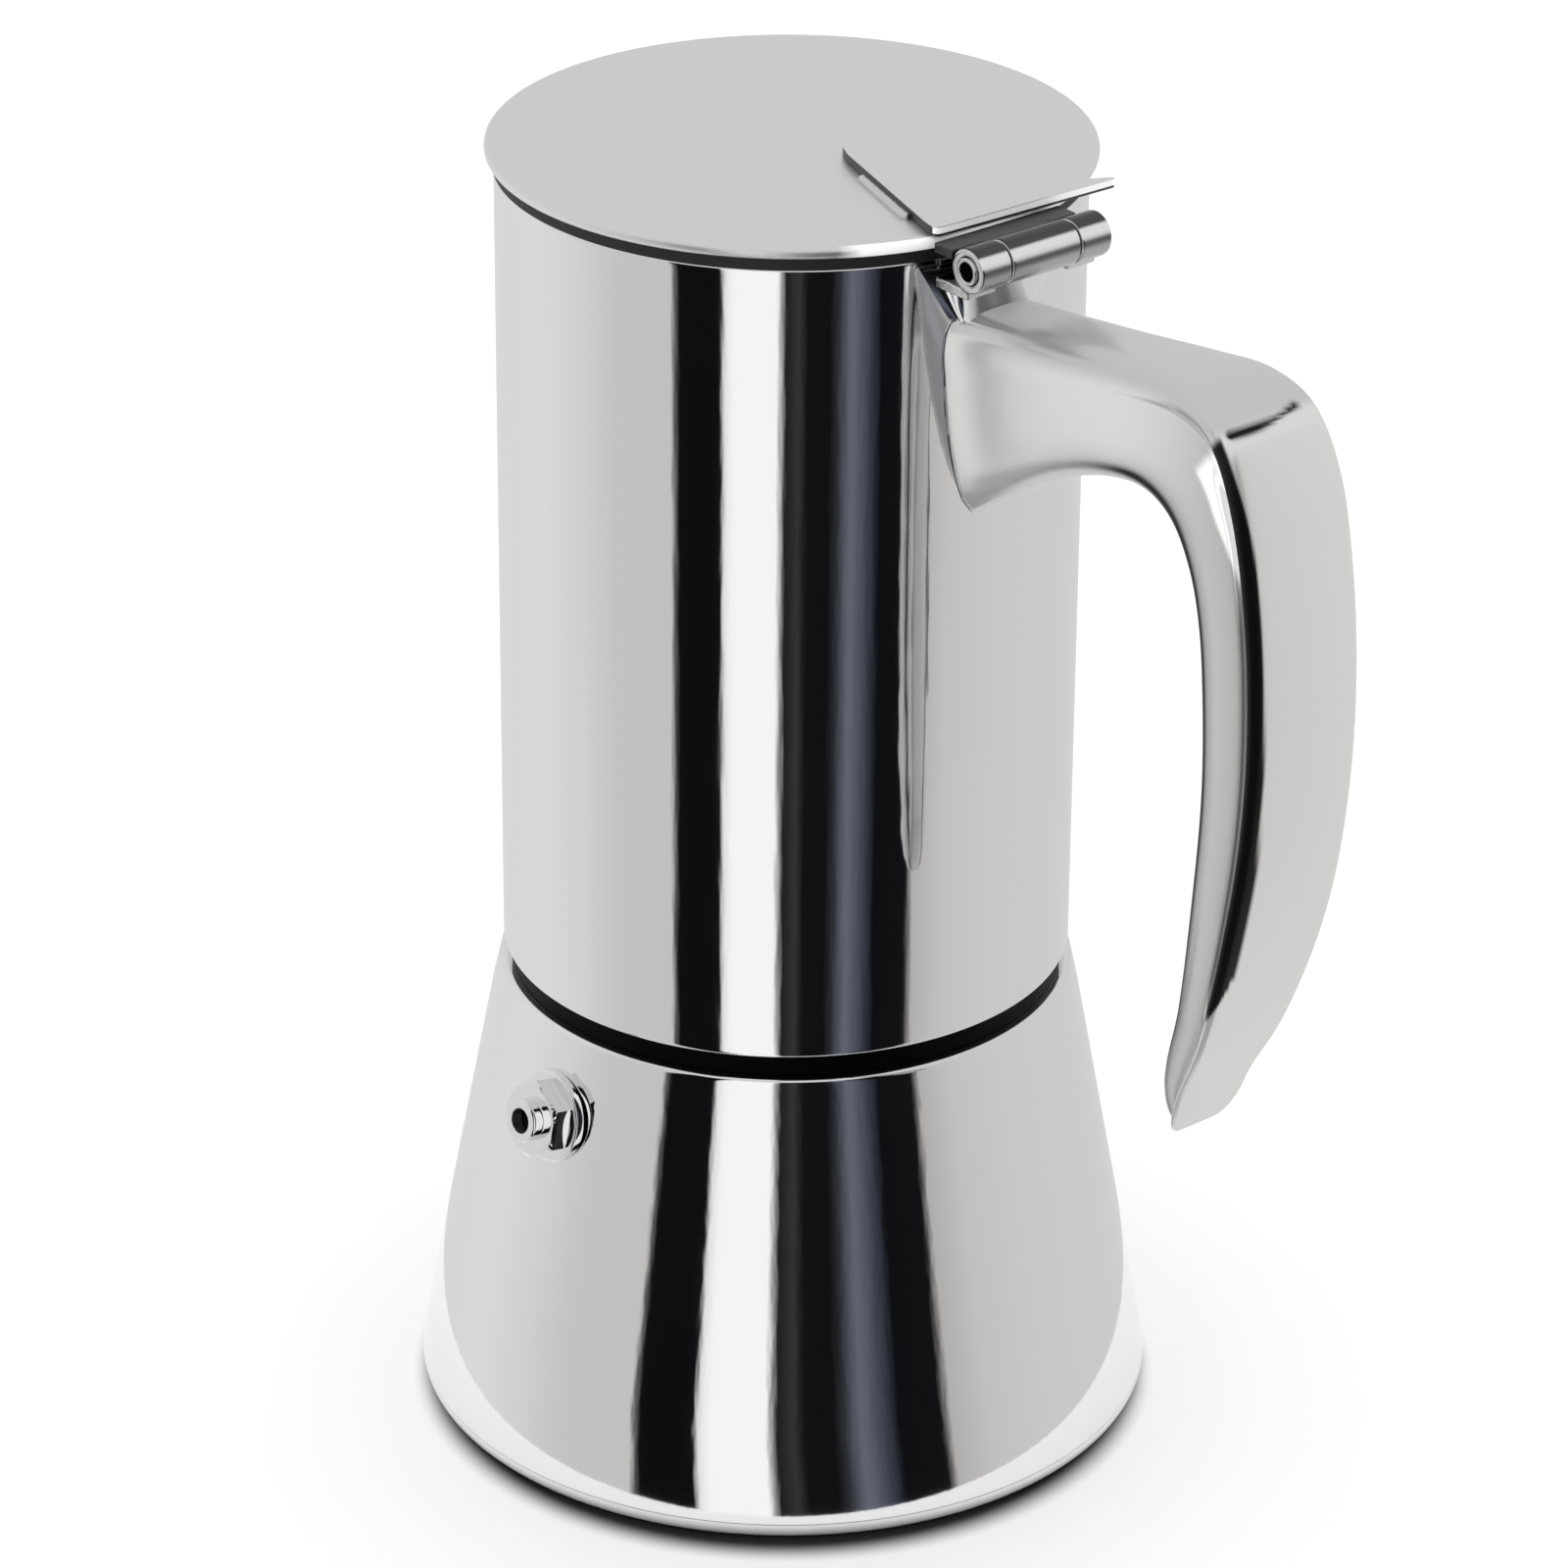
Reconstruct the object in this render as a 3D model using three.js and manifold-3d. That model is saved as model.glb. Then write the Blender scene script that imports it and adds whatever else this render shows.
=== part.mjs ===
// Stovetop coffee maker (moka pot) in stainless steel: a conical boiler, a funnel for the grounds, and a
// screwed-on collector with a hollow handle, a hinged lid and a safety valve.
// Units are millimetres. +Z is up, the origin is the centre of the flat base, and the handle points along +X.

import * as THREE from "three";
import { mergeVertices } from "three/addons/utils/BufferGeometryUtils.js";
import Module from "manifold-3d";

const wasm = await Module();
wasm.setup();

// ---------------------------------------------------------------- driving dimensions

const SEGMENTS = 36; // facets round every large ring
const SMALL_SEGMENTS = 20; // facets round the hinge and the valve
const GAP = 0.3; // air left between pieces that are welded, pressed or seated in the real pot
const RUN = 0.15; // radial running clearance of the hinge pin and the valve ball

const WALL = 0.8; // thickness of the drawn steel shells
const COLLECTOR_R = 38; // outer radius of the upper body
const COLLECTOR_HEIGHT = 109.5; // upper body, from its lower edge to its mouth
const BASE_R = 50; // boiler radius at the top of the base cap
const SHOULDER_STEP = 0.6; // boiler shoulder, outside the collector's radius
const BOILER_HEIGHT = 63; // base to shoulder
const SEAM = 2.9; // open gap between boiler shoulder and collector
const CAP_HEIGHT = 2.4; // visible height of the base cap
const CAP_FILLET = 1.9; // outer corner radius of the base cap
const DISC_SETBACK = 5; // aluminium heat-spreading disc, inside the base's outer radius
const DISC_THICKNESS = 3.2;

const THREAD_INSET = 5; // from the collector's outer radius in to the root of the neck's thread
const NECK_WALL = 1.6; // from the thread's root to the neck's clear bore
const THREAD_DEPTH = 1;
const THREAD_CLEARANCE = 0.3; // radial play between crests of the two threads
const THREAD_PITCH = 3;
const NECK_HEIGHT = 10; // shoulder to the rim of the neck
const NECK_LAP = 2; // how far the shoulder reaches in under the collar
const COLLAR_SETBACK = 1.1; // plain collar under the thread, inside the collector's radius

const FLANGE_THICKNESS = 0.8; // funnel flange that rests on the neck
const FLANGE_SETBACK = 0.4; // funnel flange, inside the thread's root
const FUNNEL_CLEARANCE = 1; // funnel cup, inside the neck's bore
const FUNNEL_CUP_DEPTH = 23;
const FUNNEL_CONE_DEPTH = 5;
const FUNNEL_CORNER = 2; // chamfer at the foot of the cup
const PLATE_LEDGE = 2.3; // height in the cup at which its chamfer carries the funnel plate
const FUNNEL_PLATE_THICKNESS = 0.6;
const FUNNEL_HOLE_R = 1.4;
const FUNNEL_HOLE_SPACING = 10.5;
const HOLE_MARGIN = 5; // rim without holes
const STEM_R = 5.6;
const STEM_CLEARANCE = 3; // stem end above the boiler floor
const SEAT_PLAY = 0.05; // play between pieces that rest on each other and come apart

const GASKET_CLEARANCE = 0.5; // gasket, inside the collector's thread
const GASKET_WIDTH = 6;
const GASKET_THICKNESS = 3;
const FILTER_SETBACK = 2.8; // filter plate, inside the gasket's outer radius
const FILTER_THICKNESS = 0.5;
const FILTER_DOME = 0.5; // rise of the filter plate's middle
const FILTER_HOLE_R = 0.9;
const FILTER_HOLE_SPACING = 6.4;

const FLOOR_LIP = 4; // rim of the collector's floor against its wall
const COLUMN_BASE_R = 8;
const COLUMN_TOP_R = 5;
const COLUMN_BORE_R = 3.4;
const COLUMN_HEIGHT = 67; // collector floor to the top of the column
const COLUMN_CAP_HEIGHT = 9;
const CAP_LAP = 3; // how far the cap reaches down over the column
const PORT_HEIGHT = 3.4; // side outlets of the column cap
const PORT_WIDTH = 4.4;

const SPOUT_REACH = 5; // how far the pressed lip stands out of the wall
const SPOUT_DEPTH = 17; // height of the pressed lip
const SPOUT_HALF_ANGLE = 0.3; // radians

const LID_OVERHANG = 1.2; // lid rim, outside the collector's radius
const LID_THICKNESS = 1.9;
const SEAL_HEIGHT = 1.3; // dark sealing ring seen under the lid's rim
const SEAL_WIDTH = 1.6;
const PLATE_THICKNESS = 1.2; // thumb plate on the lid

const HINGE_STANDOFF = 6.8; // hinge axis, outside the lid's rim
const HINGE_RISE = 1.6; // hinge axis above the collector's mouth
const HINGE_R = 2.9;
const PIN_R = 1.7;
const PIN_BORE_R = 1.2;
const HINGE_HALF_LENGTH = 10.6;
const KNUCKLE_HALF_LENGTH = 5.5; // lid knuckle, in the middle
const BRACKET_HALF_WIDTH = 12.5;
const BRACKET_THICKNESS = 2.4;
const LEAF_THICKNESS = 1.4; // of the lid knuckle
const LEG_BITE = 0.4; // how far the bracket's legs run into the knuckles

const VALVE_DROP = 11.5; // valve axis where it leaves the boiler wall, below the shoulder
const VALVE_ANGLE = THREE.MathUtils.degToRad(-88.5); // round from the handle
const VALVE_FLANGE_R = 6.2;
const VALVE_FLANGE = 1;
const VALVE_HEX_AF = 9.4; // across flats
const NUT_AF = 10.4;
const VALVE_HEX_LENGTH = 2.9;
const VALVE_SHANK_R = 3.4;
const VALVE_SHANK = 6.4; // length inside the wall
const VALVE_STUB_R = 2.9;
const VALVE_STUB = 1.3;
const VALVE_VENT_R = 1.5;
const WASHER_R = 5.6;
const WASHER = 1;
const NUT_HEIGHT = 2.2;
const CHAMBER_R = 2;
const INLET_R = 1.2;
const INLET_LENGTH = 1.6;
const BALL_R = CHAMBER_R - RUN;
const BALL_TRAVEL = 1;
const SPRING_WIRE_R = 0.25;
const SPRING_TURNS = 4;

const HANDLE_WALL = 1;

// Side view of the handle as [distance out of the collector's wall, drop below its mouth]: both lines have a
// point at each station.
const HANDLE_BACK = [
  [0, 7.2], [11.7, 6], [23.7, 4.7], [35.7, 3.5], [44.1, 3.4], [50.5, 6.6], [54.8, 14.9], [57.4, 26.4],
  [58.7, 38.4], [58.7, 51.4], [57.2, 64.9], [54.2, 77.9], [50, 89.8], [45.3, 99], [41.5, 105.6],
];
const HANDLE_INSIDE = [
  [0, 34.8], [7.7, 30.2], [15.7, 25.6], [23.7, 22.5], [31.2, 21.5], [36.9, 23.6], [40.7, 28.4],
  [42.9, 35.2], [44, 44.4], [44.5, 55.4], [44.1, 65.9], [43.1, 76.9], [41.6, 87.4], [40.1, 96.4],
  [39.9, 103.4],
];
const HANDLE_STATIONS = 19;
// Half-width across the section, from the finger side to the back, at the root and along the grip.
const SECTION_PLACES = [0, 0.04, 0.14, 0.32, 0.52, 0.68, 0.76, 0.82, 0.9, 0.97, 1];
const ROOT_HALF_WIDTHS = [2, 3.3, 4.6, 5.7, 6.5, 7, 7.2, 7.2, 6.7, 5, 2.6];
const GRIP_HALF_WIDTHS = [1.9, 3.7, 5.2, 6, 6.2, 6, 5.9, 7.4, 8.7, 8.4, 6];

// Plan of the thumb plate as [x from the lid's rim, y]: its free edge ends in a point beside the hinge.
const PLATE_PLAN = [
  [-30.9, 3], [-30.2, 0.6], [-27.2, -1], [-2.6, -9.1], [-0.4, -9.5], [0.5, 19.9], [-2.4, 14.6],
  [-5.4, 14.3], [-28.2, 21.6], [-30.6, 20],
];

// ---------------------------------------------------------------- sizes that follow from them

const SHOULDER_R = COLLECTOR_R + SHOULDER_STEP;
const COLLAR_R = COLLECTOR_R - COLLAR_SETBACK;
const THREAD_ROOT_R = COLLECTOR_R - THREAD_INSET;
const THREAD_CREST_R = THREAD_ROOT_R + THREAD_DEPTH;
const RING_MINOR_R = THREAD_CREST_R + THREAD_CLEARANCE;
const NECK_BORE_R = THREAD_ROOT_R - NECK_WALL;
const FUNNEL_CUP_R = NECK_BORE_R - FUNNEL_CLEARANCE;
const FUNNEL_FLANGE_R = THREAD_ROOT_R - FLANGE_SETBACK;
const GASKET_R = RING_MINOR_R - GASKET_CLEARANCE;
const GASKET_BORE_R = GASKET_R - GASKET_WIDTH;
const FILTER_R = GASKET_R - FILTER_SETBACK;
const LID_R = COLLECTOR_R + LID_OVERHANG;
const HINGE_X = LID_R + HINGE_STANDOFF;

const COLLECTOR_Z = BOILER_HEIGHT + SEAM;
const MOUTH_Z = COLLECTOR_Z + COLLECTOR_HEIGHT;
const NECK_TOP_Z = BOILER_HEIGHT + NECK_HEIGHT;
const FLANGE_Z = NECK_TOP_Z + SEAT_PLAY;
const GASKET_Z = FLANGE_Z + FLANGE_THICKNESS + SEAT_PLAY;
const FILTER_Z = GASKET_Z + GASKET_THICKNESS + SEAT_PLAY;
const SEAT_Z = FILTER_Z + FILTER_THICKNESS + SEAT_PLAY;
const FLOOR_Z = SEAT_Z + 2 * WALL + GAP;
const BOILER_FLOOR_Z = WALL + DISC_THICKNESS + 2 * GAP;
const LID_Z = MOUTH_Z + SEAL_HEIGHT + GAP;
const LID_TOP_Z = LID_Z + LID_THICKNESS;
const HINGE_Z = MOUTH_Z + HINGE_RISE;
const VALVE_HEIGHT = BOILER_HEIGHT - VALVE_DROP;
const COLLECTOR_BORE_R = COLLECTOR_R - WALL;
const CONE_SLOPE = (BASE_R - SHOULDER_R) / (BOILER_HEIGHT - CAP_HEIGHT);

const coneRadius = (z) => BASE_R - (z - CAP_HEIGHT) * CONE_SLOPE;

// ---------------------------------------------------------------- finishes

const finish = (color, roughness, metalness) =>
  new THREE.MeshStandardMaterial({ color, roughness, metalness });

const polishedSteel = finish(0xd4d4d6, 0.08, 1);
const satinSteel = finish(0xc6c6c8, 0.3, 1);
const plainSteel = finish(0xb9babd, 0.25, 1);
const castAluminium = finish(0xb4b4b6, 0.5, 1);
const blackSilicone = finish(0x101012, 0.6, 0);
const whiteSilicone = finish(0xe9e7e0, 0.6, 0);

// ---------------------------------------------------------------- geometry helpers

// Revolves a closed [r, z] profile about Z; the profile runs up its outer side.
function revolve(profile, segments = SEGMENTS) {
  const closed = profile.map(([r, z]) => new THREE.Vector2(r, z));
  const onAxis = profile[0][0] === 0 && profile.at(-1)[0] === 0;
  if (!onAxis) closed.push(closed[0].clone());
  return new THREE.LatheGeometry(closed, segments).rotateX(Math.PI / 2);
}

// Points of an arc in the r-z plane, both ends included, angles in radians.
function arc(r, z, radius, from, to, steps = 4) {
  return Array.from({ length: steps + 1 }, (_, i) => {
    const angle = from + ((to - from) * i) / steps;
    return [r + radius * Math.cos(angle), z + radius * Math.sin(angle)];
  });
}

// Turns every face round when a closed geometry's signed volume is negative.
function facingOut(positions, triangles) {
  const [a, b, c] = [new THREE.Vector3(), new THREE.Vector3(), new THREE.Vector3()];
  let volume = 0;
  for (let i = 0; i < triangles.length; i += 3) {
    a.fromArray(positions, 3 * triangles[i]);
    b.fromArray(positions, 3 * triangles[i + 1]);
    c.fromArray(positions, 3 * triangles[i + 2]);
    volume += a.dot(b.cross(c));
  }
  const geometry = new THREE.BufferGeometry();
  geometry.setAttribute("position", new THREE.Float32BufferAttribute(positions, 3));
  geometry.setIndex(volume < 0 ? triangles.slice().reverse() : triangles);
  return geometry;
}

// Skins a list of rings with the same number of points. The ends are capped, or joined to each other.
function skin(rings, joined = false) {
  const count = rings[0].length;
  const positions = rings.flat(2);
  const triangles = [];
  const last = joined ? rings.length : rings.length - 1;
  for (let k = 0; k < last; k++)
    for (let i = 0; i < count; i++) {
      const a = k * count + i;
      const b = k * count + ((i + 1) % count);
      const c = ((k + 1) % rings.length) * count + i;
      const d = ((k + 1) % rings.length) * count + ((i + 1) % count);
      triangles.push(a, b, d, a, d, c);
    }
  if (!joined)
    for (const [ring, turn] of [[0, true], [rings.length - 1, false]]) {
      const centre = positions.length / 3;
      const sum = [0, 1, 2].map((axis) => rings[ring].reduce((total, p) => total + p[axis], 0) / count);
      positions.push(...sum);
      for (let i = 0; i < count; i++) {
        const a = ring * count + i;
        const b = ring * count + ((i + 1) % count);
        triangles.push(...(turn ? [centre, b, a] : [centre, a, b]));
      }
    }
  return facingOut(positions, triangles);
}

// Revolves a closed profile whose radius also depends on the angle: offset(angle, r, z) is added to r.
function shapedRevolve(profile, offset, segments = SEGMENTS) {
  const rings = Array.from({ length: segments }, (_, i) => {
    const angle = (2 * Math.PI * i) / segments;
    return profile.map(([r, z]) => {
      const radius = r + offset(angle, r, z);
      return [radius * Math.cos(angle), radius * Math.sin(angle), z];
    });
  });
  return skin(rings, true);
}

function solid(geometry) {
  const bare = geometry.clone();
  bare.deleteAttribute("normal");
  bare.deleteAttribute("uv");
  const merged = mergeVertices(bare, 1e-3);
  return new wasm.Manifold(
    new wasm.Mesh({
      numProp: 3,
      vertProperties: new Float32Array(merged.attributes.position.array),
      triVerts: new Uint32Array(merged.index.array),
    }),
  );
}

function geometryOf(manifold) {
  const mesh = manifold.getMesh();
  const geometry = new THREE.BufferGeometry();
  geometry.setAttribute("position", new THREE.BufferAttribute(mesh.vertProperties, 3));
  geometry.setIndex(new THREE.BufferAttribute(mesh.triVerts, 1));
  return geometry;
}

// A closed outline of [u, v] points pushed through a depth along Z.
function plate(outline, depth, holes = []) {
  const shape = new THREE.Shape(outline.map(([u, v]) => new THREE.Vector2(u, v)));
  shape.holes = holes;
  return new THREE.ExtrudeGeometry(shape, { depth, bevelEnabled: false, curveSegments: 6 });
}

function box(low, high) {
  const size = high.map((v, i) => v - low[i]);
  const centre = high.map((v, i) => (v + low[i]) / 2);
  return new THREE.BoxGeometry(...size).translate(...centre);
}

// Six-sided holes on rings one spacing apart, six more holes on each ring, inside a plate's rim.
function holePattern(plateR, spacing, radius) {
  const holes = [];
  const ringCount = Math.floor((plateR - HOLE_MARGIN) / spacing);
  for (let ring = 0; ring <= ringCount; ring++)
    for (let i = 0; i < Math.max(1, 6 * ring); i++) {
      const angle = ring ? (2 * Math.PI * i) / (6 * ring) : 0;
      const centre = new THREE.Vector2(Math.cos(angle), Math.sin(angle)).multiplyScalar(ring * spacing);
      const rim = circleOutline(radius, 6).map(([u, v]) => new THREE.Vector2(u, v).add(centre));
      holes.push(new THREE.Path(rim.toReversed()));
    }
  return holes;
}

const circleOutline = (radius, segments = SEGMENTS) =>
  Array.from({ length: segments }, (_, i) => {
    const angle = (2 * Math.PI * i) / segments;
    return [radius * Math.cos(angle), radius * Math.sin(angle)];
  });

const part = new THREE.Group();

function add(name, geometry, material, parent = part) {
  const mesh = new THREE.Mesh(geometry, material);
  mesh.name = name;
  parent.add(mesh);
  return mesh;
}

// ---------------------------------------------------------------- boiler

// Pressed cap that closes the bottom and holds the heat disc; its rounded corner is the pot's foot.
function baseCap() {
  const centre = BASE_R - CAP_FILLET;
  const corner = arc(centre, CAP_FILLET, CAP_FILLET, -Math.PI / 2, 0);
  const inner = arc(centre, CAP_FILLET, CAP_FILLET - WALL, 0, -Math.PI / 2);
  const rim = [[BASE_R, CAP_HEIGHT], [BASE_R - WALL, CAP_HEIGHT]];
  return revolve([[0, 0], ...corner, ...rim, ...inner, [0, WALL]]);
}

function heatDisc() {
  const low = WALL + GAP;
  const high = low + DISC_THICKNESS;
  const radius = BASE_R - DISC_SETBACK;
  return revolve([[0, low], [radius, low], [radius, high], [0, high]]);
}

// Conical shell with its own floor and an in-turned shoulder that carries the neck.
function boilerShell() {
  const low = CAP_HEIGHT + GAP;
  const lip = COLLAR_R - NECK_LAP;
  const wallAt = (z) => coneRadius(z) - WALL;
  const shoulder = arc(SHOULDER_R - 0.6, BOILER_HEIGHT - 0.6, 0.6, 0.1, Math.PI / 2, 3);
  return revolve([
    [0, BOILER_FLOOR_Z],
    [wallAt(BOILER_FLOOR_Z), BOILER_FLOOR_Z],
    [wallAt(low), low],
    [coneRadius(low), low],
    ...shoulder,
    [lip, BOILER_HEIGHT],
    [lip, BOILER_HEIGHT - WALL],
    [wallAt(BOILER_HEIGHT - WALL) - 0.2, BOILER_HEIGHT - WALL],
    [wallAt(BOILER_FLOOR_Z + WALL), BOILER_FLOOR_Z + WALL],
    [0, BOILER_FLOOR_Z + WALL],
  ]);
}

// Height of a triangular thread ridge, 0 at the root and 1 at the crest.
function ridge(angle, z) {
  const turn = z / THREAD_PITCH - angle / (2 * Math.PI);
  return 1 - Math.abs(2 * (turn - Math.floor(turn)) - 1);
}

// Points up a threaded wall, four to a pitch.
function threadHeights(from, to) {
  const steps = Math.round((4 * (to - from)) / THREAD_PITCH);
  return Array.from({ length: steps + 1 }, (_, i) => from + ((to - from) * i) / steps);
}

// Ring with the external thread, welded into the shoulder; its rim carries the funnel.
function neckRing() {
  const spigot = COLLAR_R - NECK_LAP - GAP;
  const collarLow = BOILER_HEIGHT + GAP;
  const collarHigh = COLLECTOR_Z - GAP;
  const [threadLow, threadHigh] = [collarHigh + 0.8, NECK_TOP_Z - 0.9];
  const profile = [
    [NECK_BORE_R, BOILER_HEIGHT - 2 * WALL],
    [spigot, BOILER_HEIGHT - 2 * WALL],
    [spigot, collarLow],
    [COLLAR_R, collarLow],
    [COLLAR_R, collarHigh],
    [THREAD_ROOT_R, collarHigh],
    ...threadHeights(threadLow, threadHigh).map((z) => [THREAD_ROOT_R, z]),
    [THREAD_ROOT_R, NECK_TOP_Z],
    [NECK_BORE_R, NECK_TOP_Z],
  ];
  const offset = (angle, r, z) =>
    r === THREAD_ROOT_R && z >= threadLow && z <= threadHigh ? THREAD_DEPTH * ridge(angle, z) : 0;
  return shapedRevolve(profile, offset);
}

// ---------------------------------------------------------------- safety valve

// Everything on the valve's axis is drawn along Z, with 0 on the boiler's outer wall.
const valve = new THREE.Group();
const valveTilt = Math.atan(CONE_SLOPE);
const valveRadius = coneRadius(VALVE_HEIGHT);
valve.position.set(valveRadius * Math.cos(VALVE_ANGLE), valveRadius * Math.sin(VALVE_ANGLE), VALVE_HEIGHT);
valve.quaternion
  .setFromAxisAngle(new THREE.Vector3(0, 0, 1), VALVE_ANGLE)
  .multiply(new THREE.Quaternion().setFromAxisAngle(new THREE.Vector3(0, 1, 0), Math.PI / 2 - valveTilt));
part.add(valve);

const FLANGE_LOW = GAP;
const HEX_LOW = FLANGE_LOW + VALVE_FLANGE;
const HEX_HIGH = HEX_LOW + VALVE_HEX_LENGTH;
const SHANK_LOW = -VALVE_SHANK;
const CHAMBER_LOW = SHANK_LOW + INLET_LENGTH;
// The ball rests in the mouth of the inlet.
const BALL_Z = CHAMBER_LOW + Math.sqrt(BALL_R ** 2 - INLET_R ** 2) + SEAT_PLAY;

// The wall is hollow towards the washer, so the washer's edge meets it first.
const WASHER_HIGH = -WALL - GAP - WASHER_R ** 2 / (2 * (valveRadius - WALL));

const hexagon = (acrossFlats) => circleOutline(acrossFlats / Math.sqrt(3), 6);

// Bored body: flange and hexagon outside the wall, shank inside it.
function valveBody() {
  const core = revolve(
    [
      [0, SHANK_LOW],
      [VALVE_SHANK_R, SHANK_LOW],
      [VALVE_SHANK_R, FLANGE_LOW],
      [VALVE_FLANGE_R, FLANGE_LOW],
      [VALVE_FLANGE_R, HEX_LOW - 0.3],
      [VALVE_FLANGE_R - 0.5, HEX_LOW],
      [0, HEX_LOW],
    ],
    SMALL_SEGMENTS,
  );
  const hex = plate(hexagon(VALVE_HEX_AF), VALVE_HEX_LENGTH + 0.4).translate(0, 0, HEX_LOW - 0.4);
  const bore = revolve(
    [
      [0, SHANK_LOW - 1],
      [INLET_R, SHANK_LOW - 1],
      [INLET_R, CHAMBER_LOW],
      [CHAMBER_R, CHAMBER_LOW],
      [CHAMBER_R, HEX_HIGH + 1],
      [0, HEX_HIGH + 1],
    ],
    SMALL_SEGMENTS,
  );
  return geometryOf(solid(core).add(solid(hex)).subtract(solid(bore)));
}

function tube(outer, inner, low, high, segments = SMALL_SEGMENTS) {
  return revolve([[inner, low], [outer, low], [outer, high], [inner, high]], segments);
}

function valvePlug() {
  const low = HEX_HIGH + GAP;
  return tube(VALVE_STUB_R, VALVE_VENT_R, low, low + VALVE_STUB);
}

function valveWasher() {
  return tube(WASHER_R, VALVE_SHANK_R + GAP, WASHER_HIGH - WASHER, WASHER_HIGH);
}

function valveNut() {
  const high = WASHER_HIGH - WASHER - GAP;
  const hex = plate(hexagon(NUT_AF), NUT_HEIGHT).translate(0, 0, high - NUT_HEIGHT);
  const bore = new THREE.CylinderGeometry(VALVE_SHANK_R + GAP, VALVE_SHANK_R + GAP, 6, SMALL_SEGMENTS);
  bore.rotateX(Math.PI / 2).translate(0, 0, high - NUT_HEIGHT / 2);
  return geometryOf(solid(hex).subtract(solid(bore)));
}

class Helix extends THREE.Curve {
  constructor(radius, turns, low, high) {
    super();
    Object.assign(this, { radius, turns, low, high });
  }
  getPoint(t, target = new THREE.Vector3()) {
    const angle = 2 * Math.PI * this.turns * t;
    const z = this.low + (this.high - this.low) * t;
    return target.set(this.radius * Math.cos(angle), this.radius * Math.sin(angle), z);
  }
}

function valveSpring() {
  const low = BALL_Z + BALL_R * 0.75 + SPRING_WIRE_R;
  const high = HEX_HIGH + GAP - SPRING_WIRE_R - SEAT_PLAY;
  const radius = CHAMBER_R - SPRING_WIRE_R - RUN;
  const wire = new THREE.Shape(circleOutline(SPRING_WIRE_R, 5).map(([u, v]) => new THREE.Vector2(u, v)));
  const path = new Helix(radius, SPRING_TURNS, low, high);
  const options = { steps: 12 * SPRING_TURNS, extrudePath: path, bevelEnabled: false };
  return new THREE.ExtrudeGeometry(wire, options);
}

// ---------------------------------------------------------------- funnel

function funnelShell() {
  const t = FLANGE_THICKNESS;
  const rim = FLANGE_Z + t;
  const cupLow = FLANGE_Z - FUNNEL_CUP_DEPTH;
  const coneLow = cupLow - FUNNEL_CONE_DEPTH;
  const stemLow = BOILER_FLOOR_Z + WALL + STEM_CLEARANCE;
  const bore = STEM_R - t;
  return revolve([
    [bore, stemLow],
    [STEM_R, stemLow],
    [STEM_R, coneLow],
    [FUNNEL_CUP_R - FUNNEL_CORNER, cupLow],
    [FUNNEL_CUP_R, cupLow + FUNNEL_CORNER],
    [FUNNEL_CUP_R, FLANGE_Z],
    [FUNNEL_FLANGE_R, FLANGE_Z],
    [FUNNEL_FLANGE_R, rim],
    [FUNNEL_CUP_R - t, rim],
    [FUNNEL_CUP_R - t, cupLow + PLATE_LEDGE],
    [FUNNEL_CUP_R - PLATE_LEDGE, cupLow + t],
    [bore, coneLow + t],
  ]);
}

function funnelPlate() {
  const low = FLANGE_Z - FUNNEL_CUP_DEPTH + PLATE_LEDGE + GAP;
  const radius = FUNNEL_CUP_R - FLANGE_THICKNESS - GAP;
  const holes = holePattern(radius, FUNNEL_HOLE_SPACING, FUNNEL_HOLE_R);
  return plate(circleOutline(radius), FUNNEL_PLATE_THICKNESS, holes).translate(0, 0, low);
}

// ---------------------------------------------------------------- seal

function gasket() {
  const high = GASKET_Z + GASKET_THICKNESS;
  const bevel = 0.4;
  return revolve([
    [GASKET_BORE_R + bevel, GASKET_Z],
    [GASKET_R - bevel, GASKET_Z],
    [GASKET_R, GASKET_Z + bevel],
    [GASKET_R, high - bevel],
    [GASKET_R - bevel, high],
    [GASKET_BORE_R + bevel, high],
    [GASKET_BORE_R, high - bevel],
    [GASKET_BORE_R, GASKET_Z + bevel],
  ]);
}

// Filter plate: a flat rim on the gasket and a slightly raised, perforated middle.
function filterPlate() {
  const rimHigh = FILTER_Z + FILTER_THICKNESS;
  const step = FILTER_R - 5;
  const rim = solid(revolve([
    [step - 1.5, FILTER_Z + FILTER_DOME], [step, FILTER_Z], [FILTER_R, FILTER_Z], [FILTER_R, rimHigh],
    [step + 0.2, rimHigh], [step - 1.3, rimHigh + FILTER_DOME], [step - 1.5, rimHigh + FILTER_DOME],
  ]));
  const holes = holePattern(step - 1.4, FILTER_HOLE_SPACING, FILTER_HOLE_R);
  const middle = plate(circleOutline(step - 1.4), FILTER_THICKNESS, holes);
  return geometryOf(rim.add(solid(middle.translate(0, 0, FILTER_Z + FILTER_DOME))));
}

// ---------------------------------------------------------------- collector

// Pressed lip: the wall swells outwards round the side away from the handle, most at the mouth.
function spoutOffset(angle, z) {
  const away = (angle - Math.PI) / SPOUT_HALF_ANGLE;
  const rise = THREE.MathUtils.smoothstep(z, MOUTH_Z - SPOUT_DEPTH, MOUTH_Z);
  return SPOUT_REACH * rise * Math.exp(-away * away);
}

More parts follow.
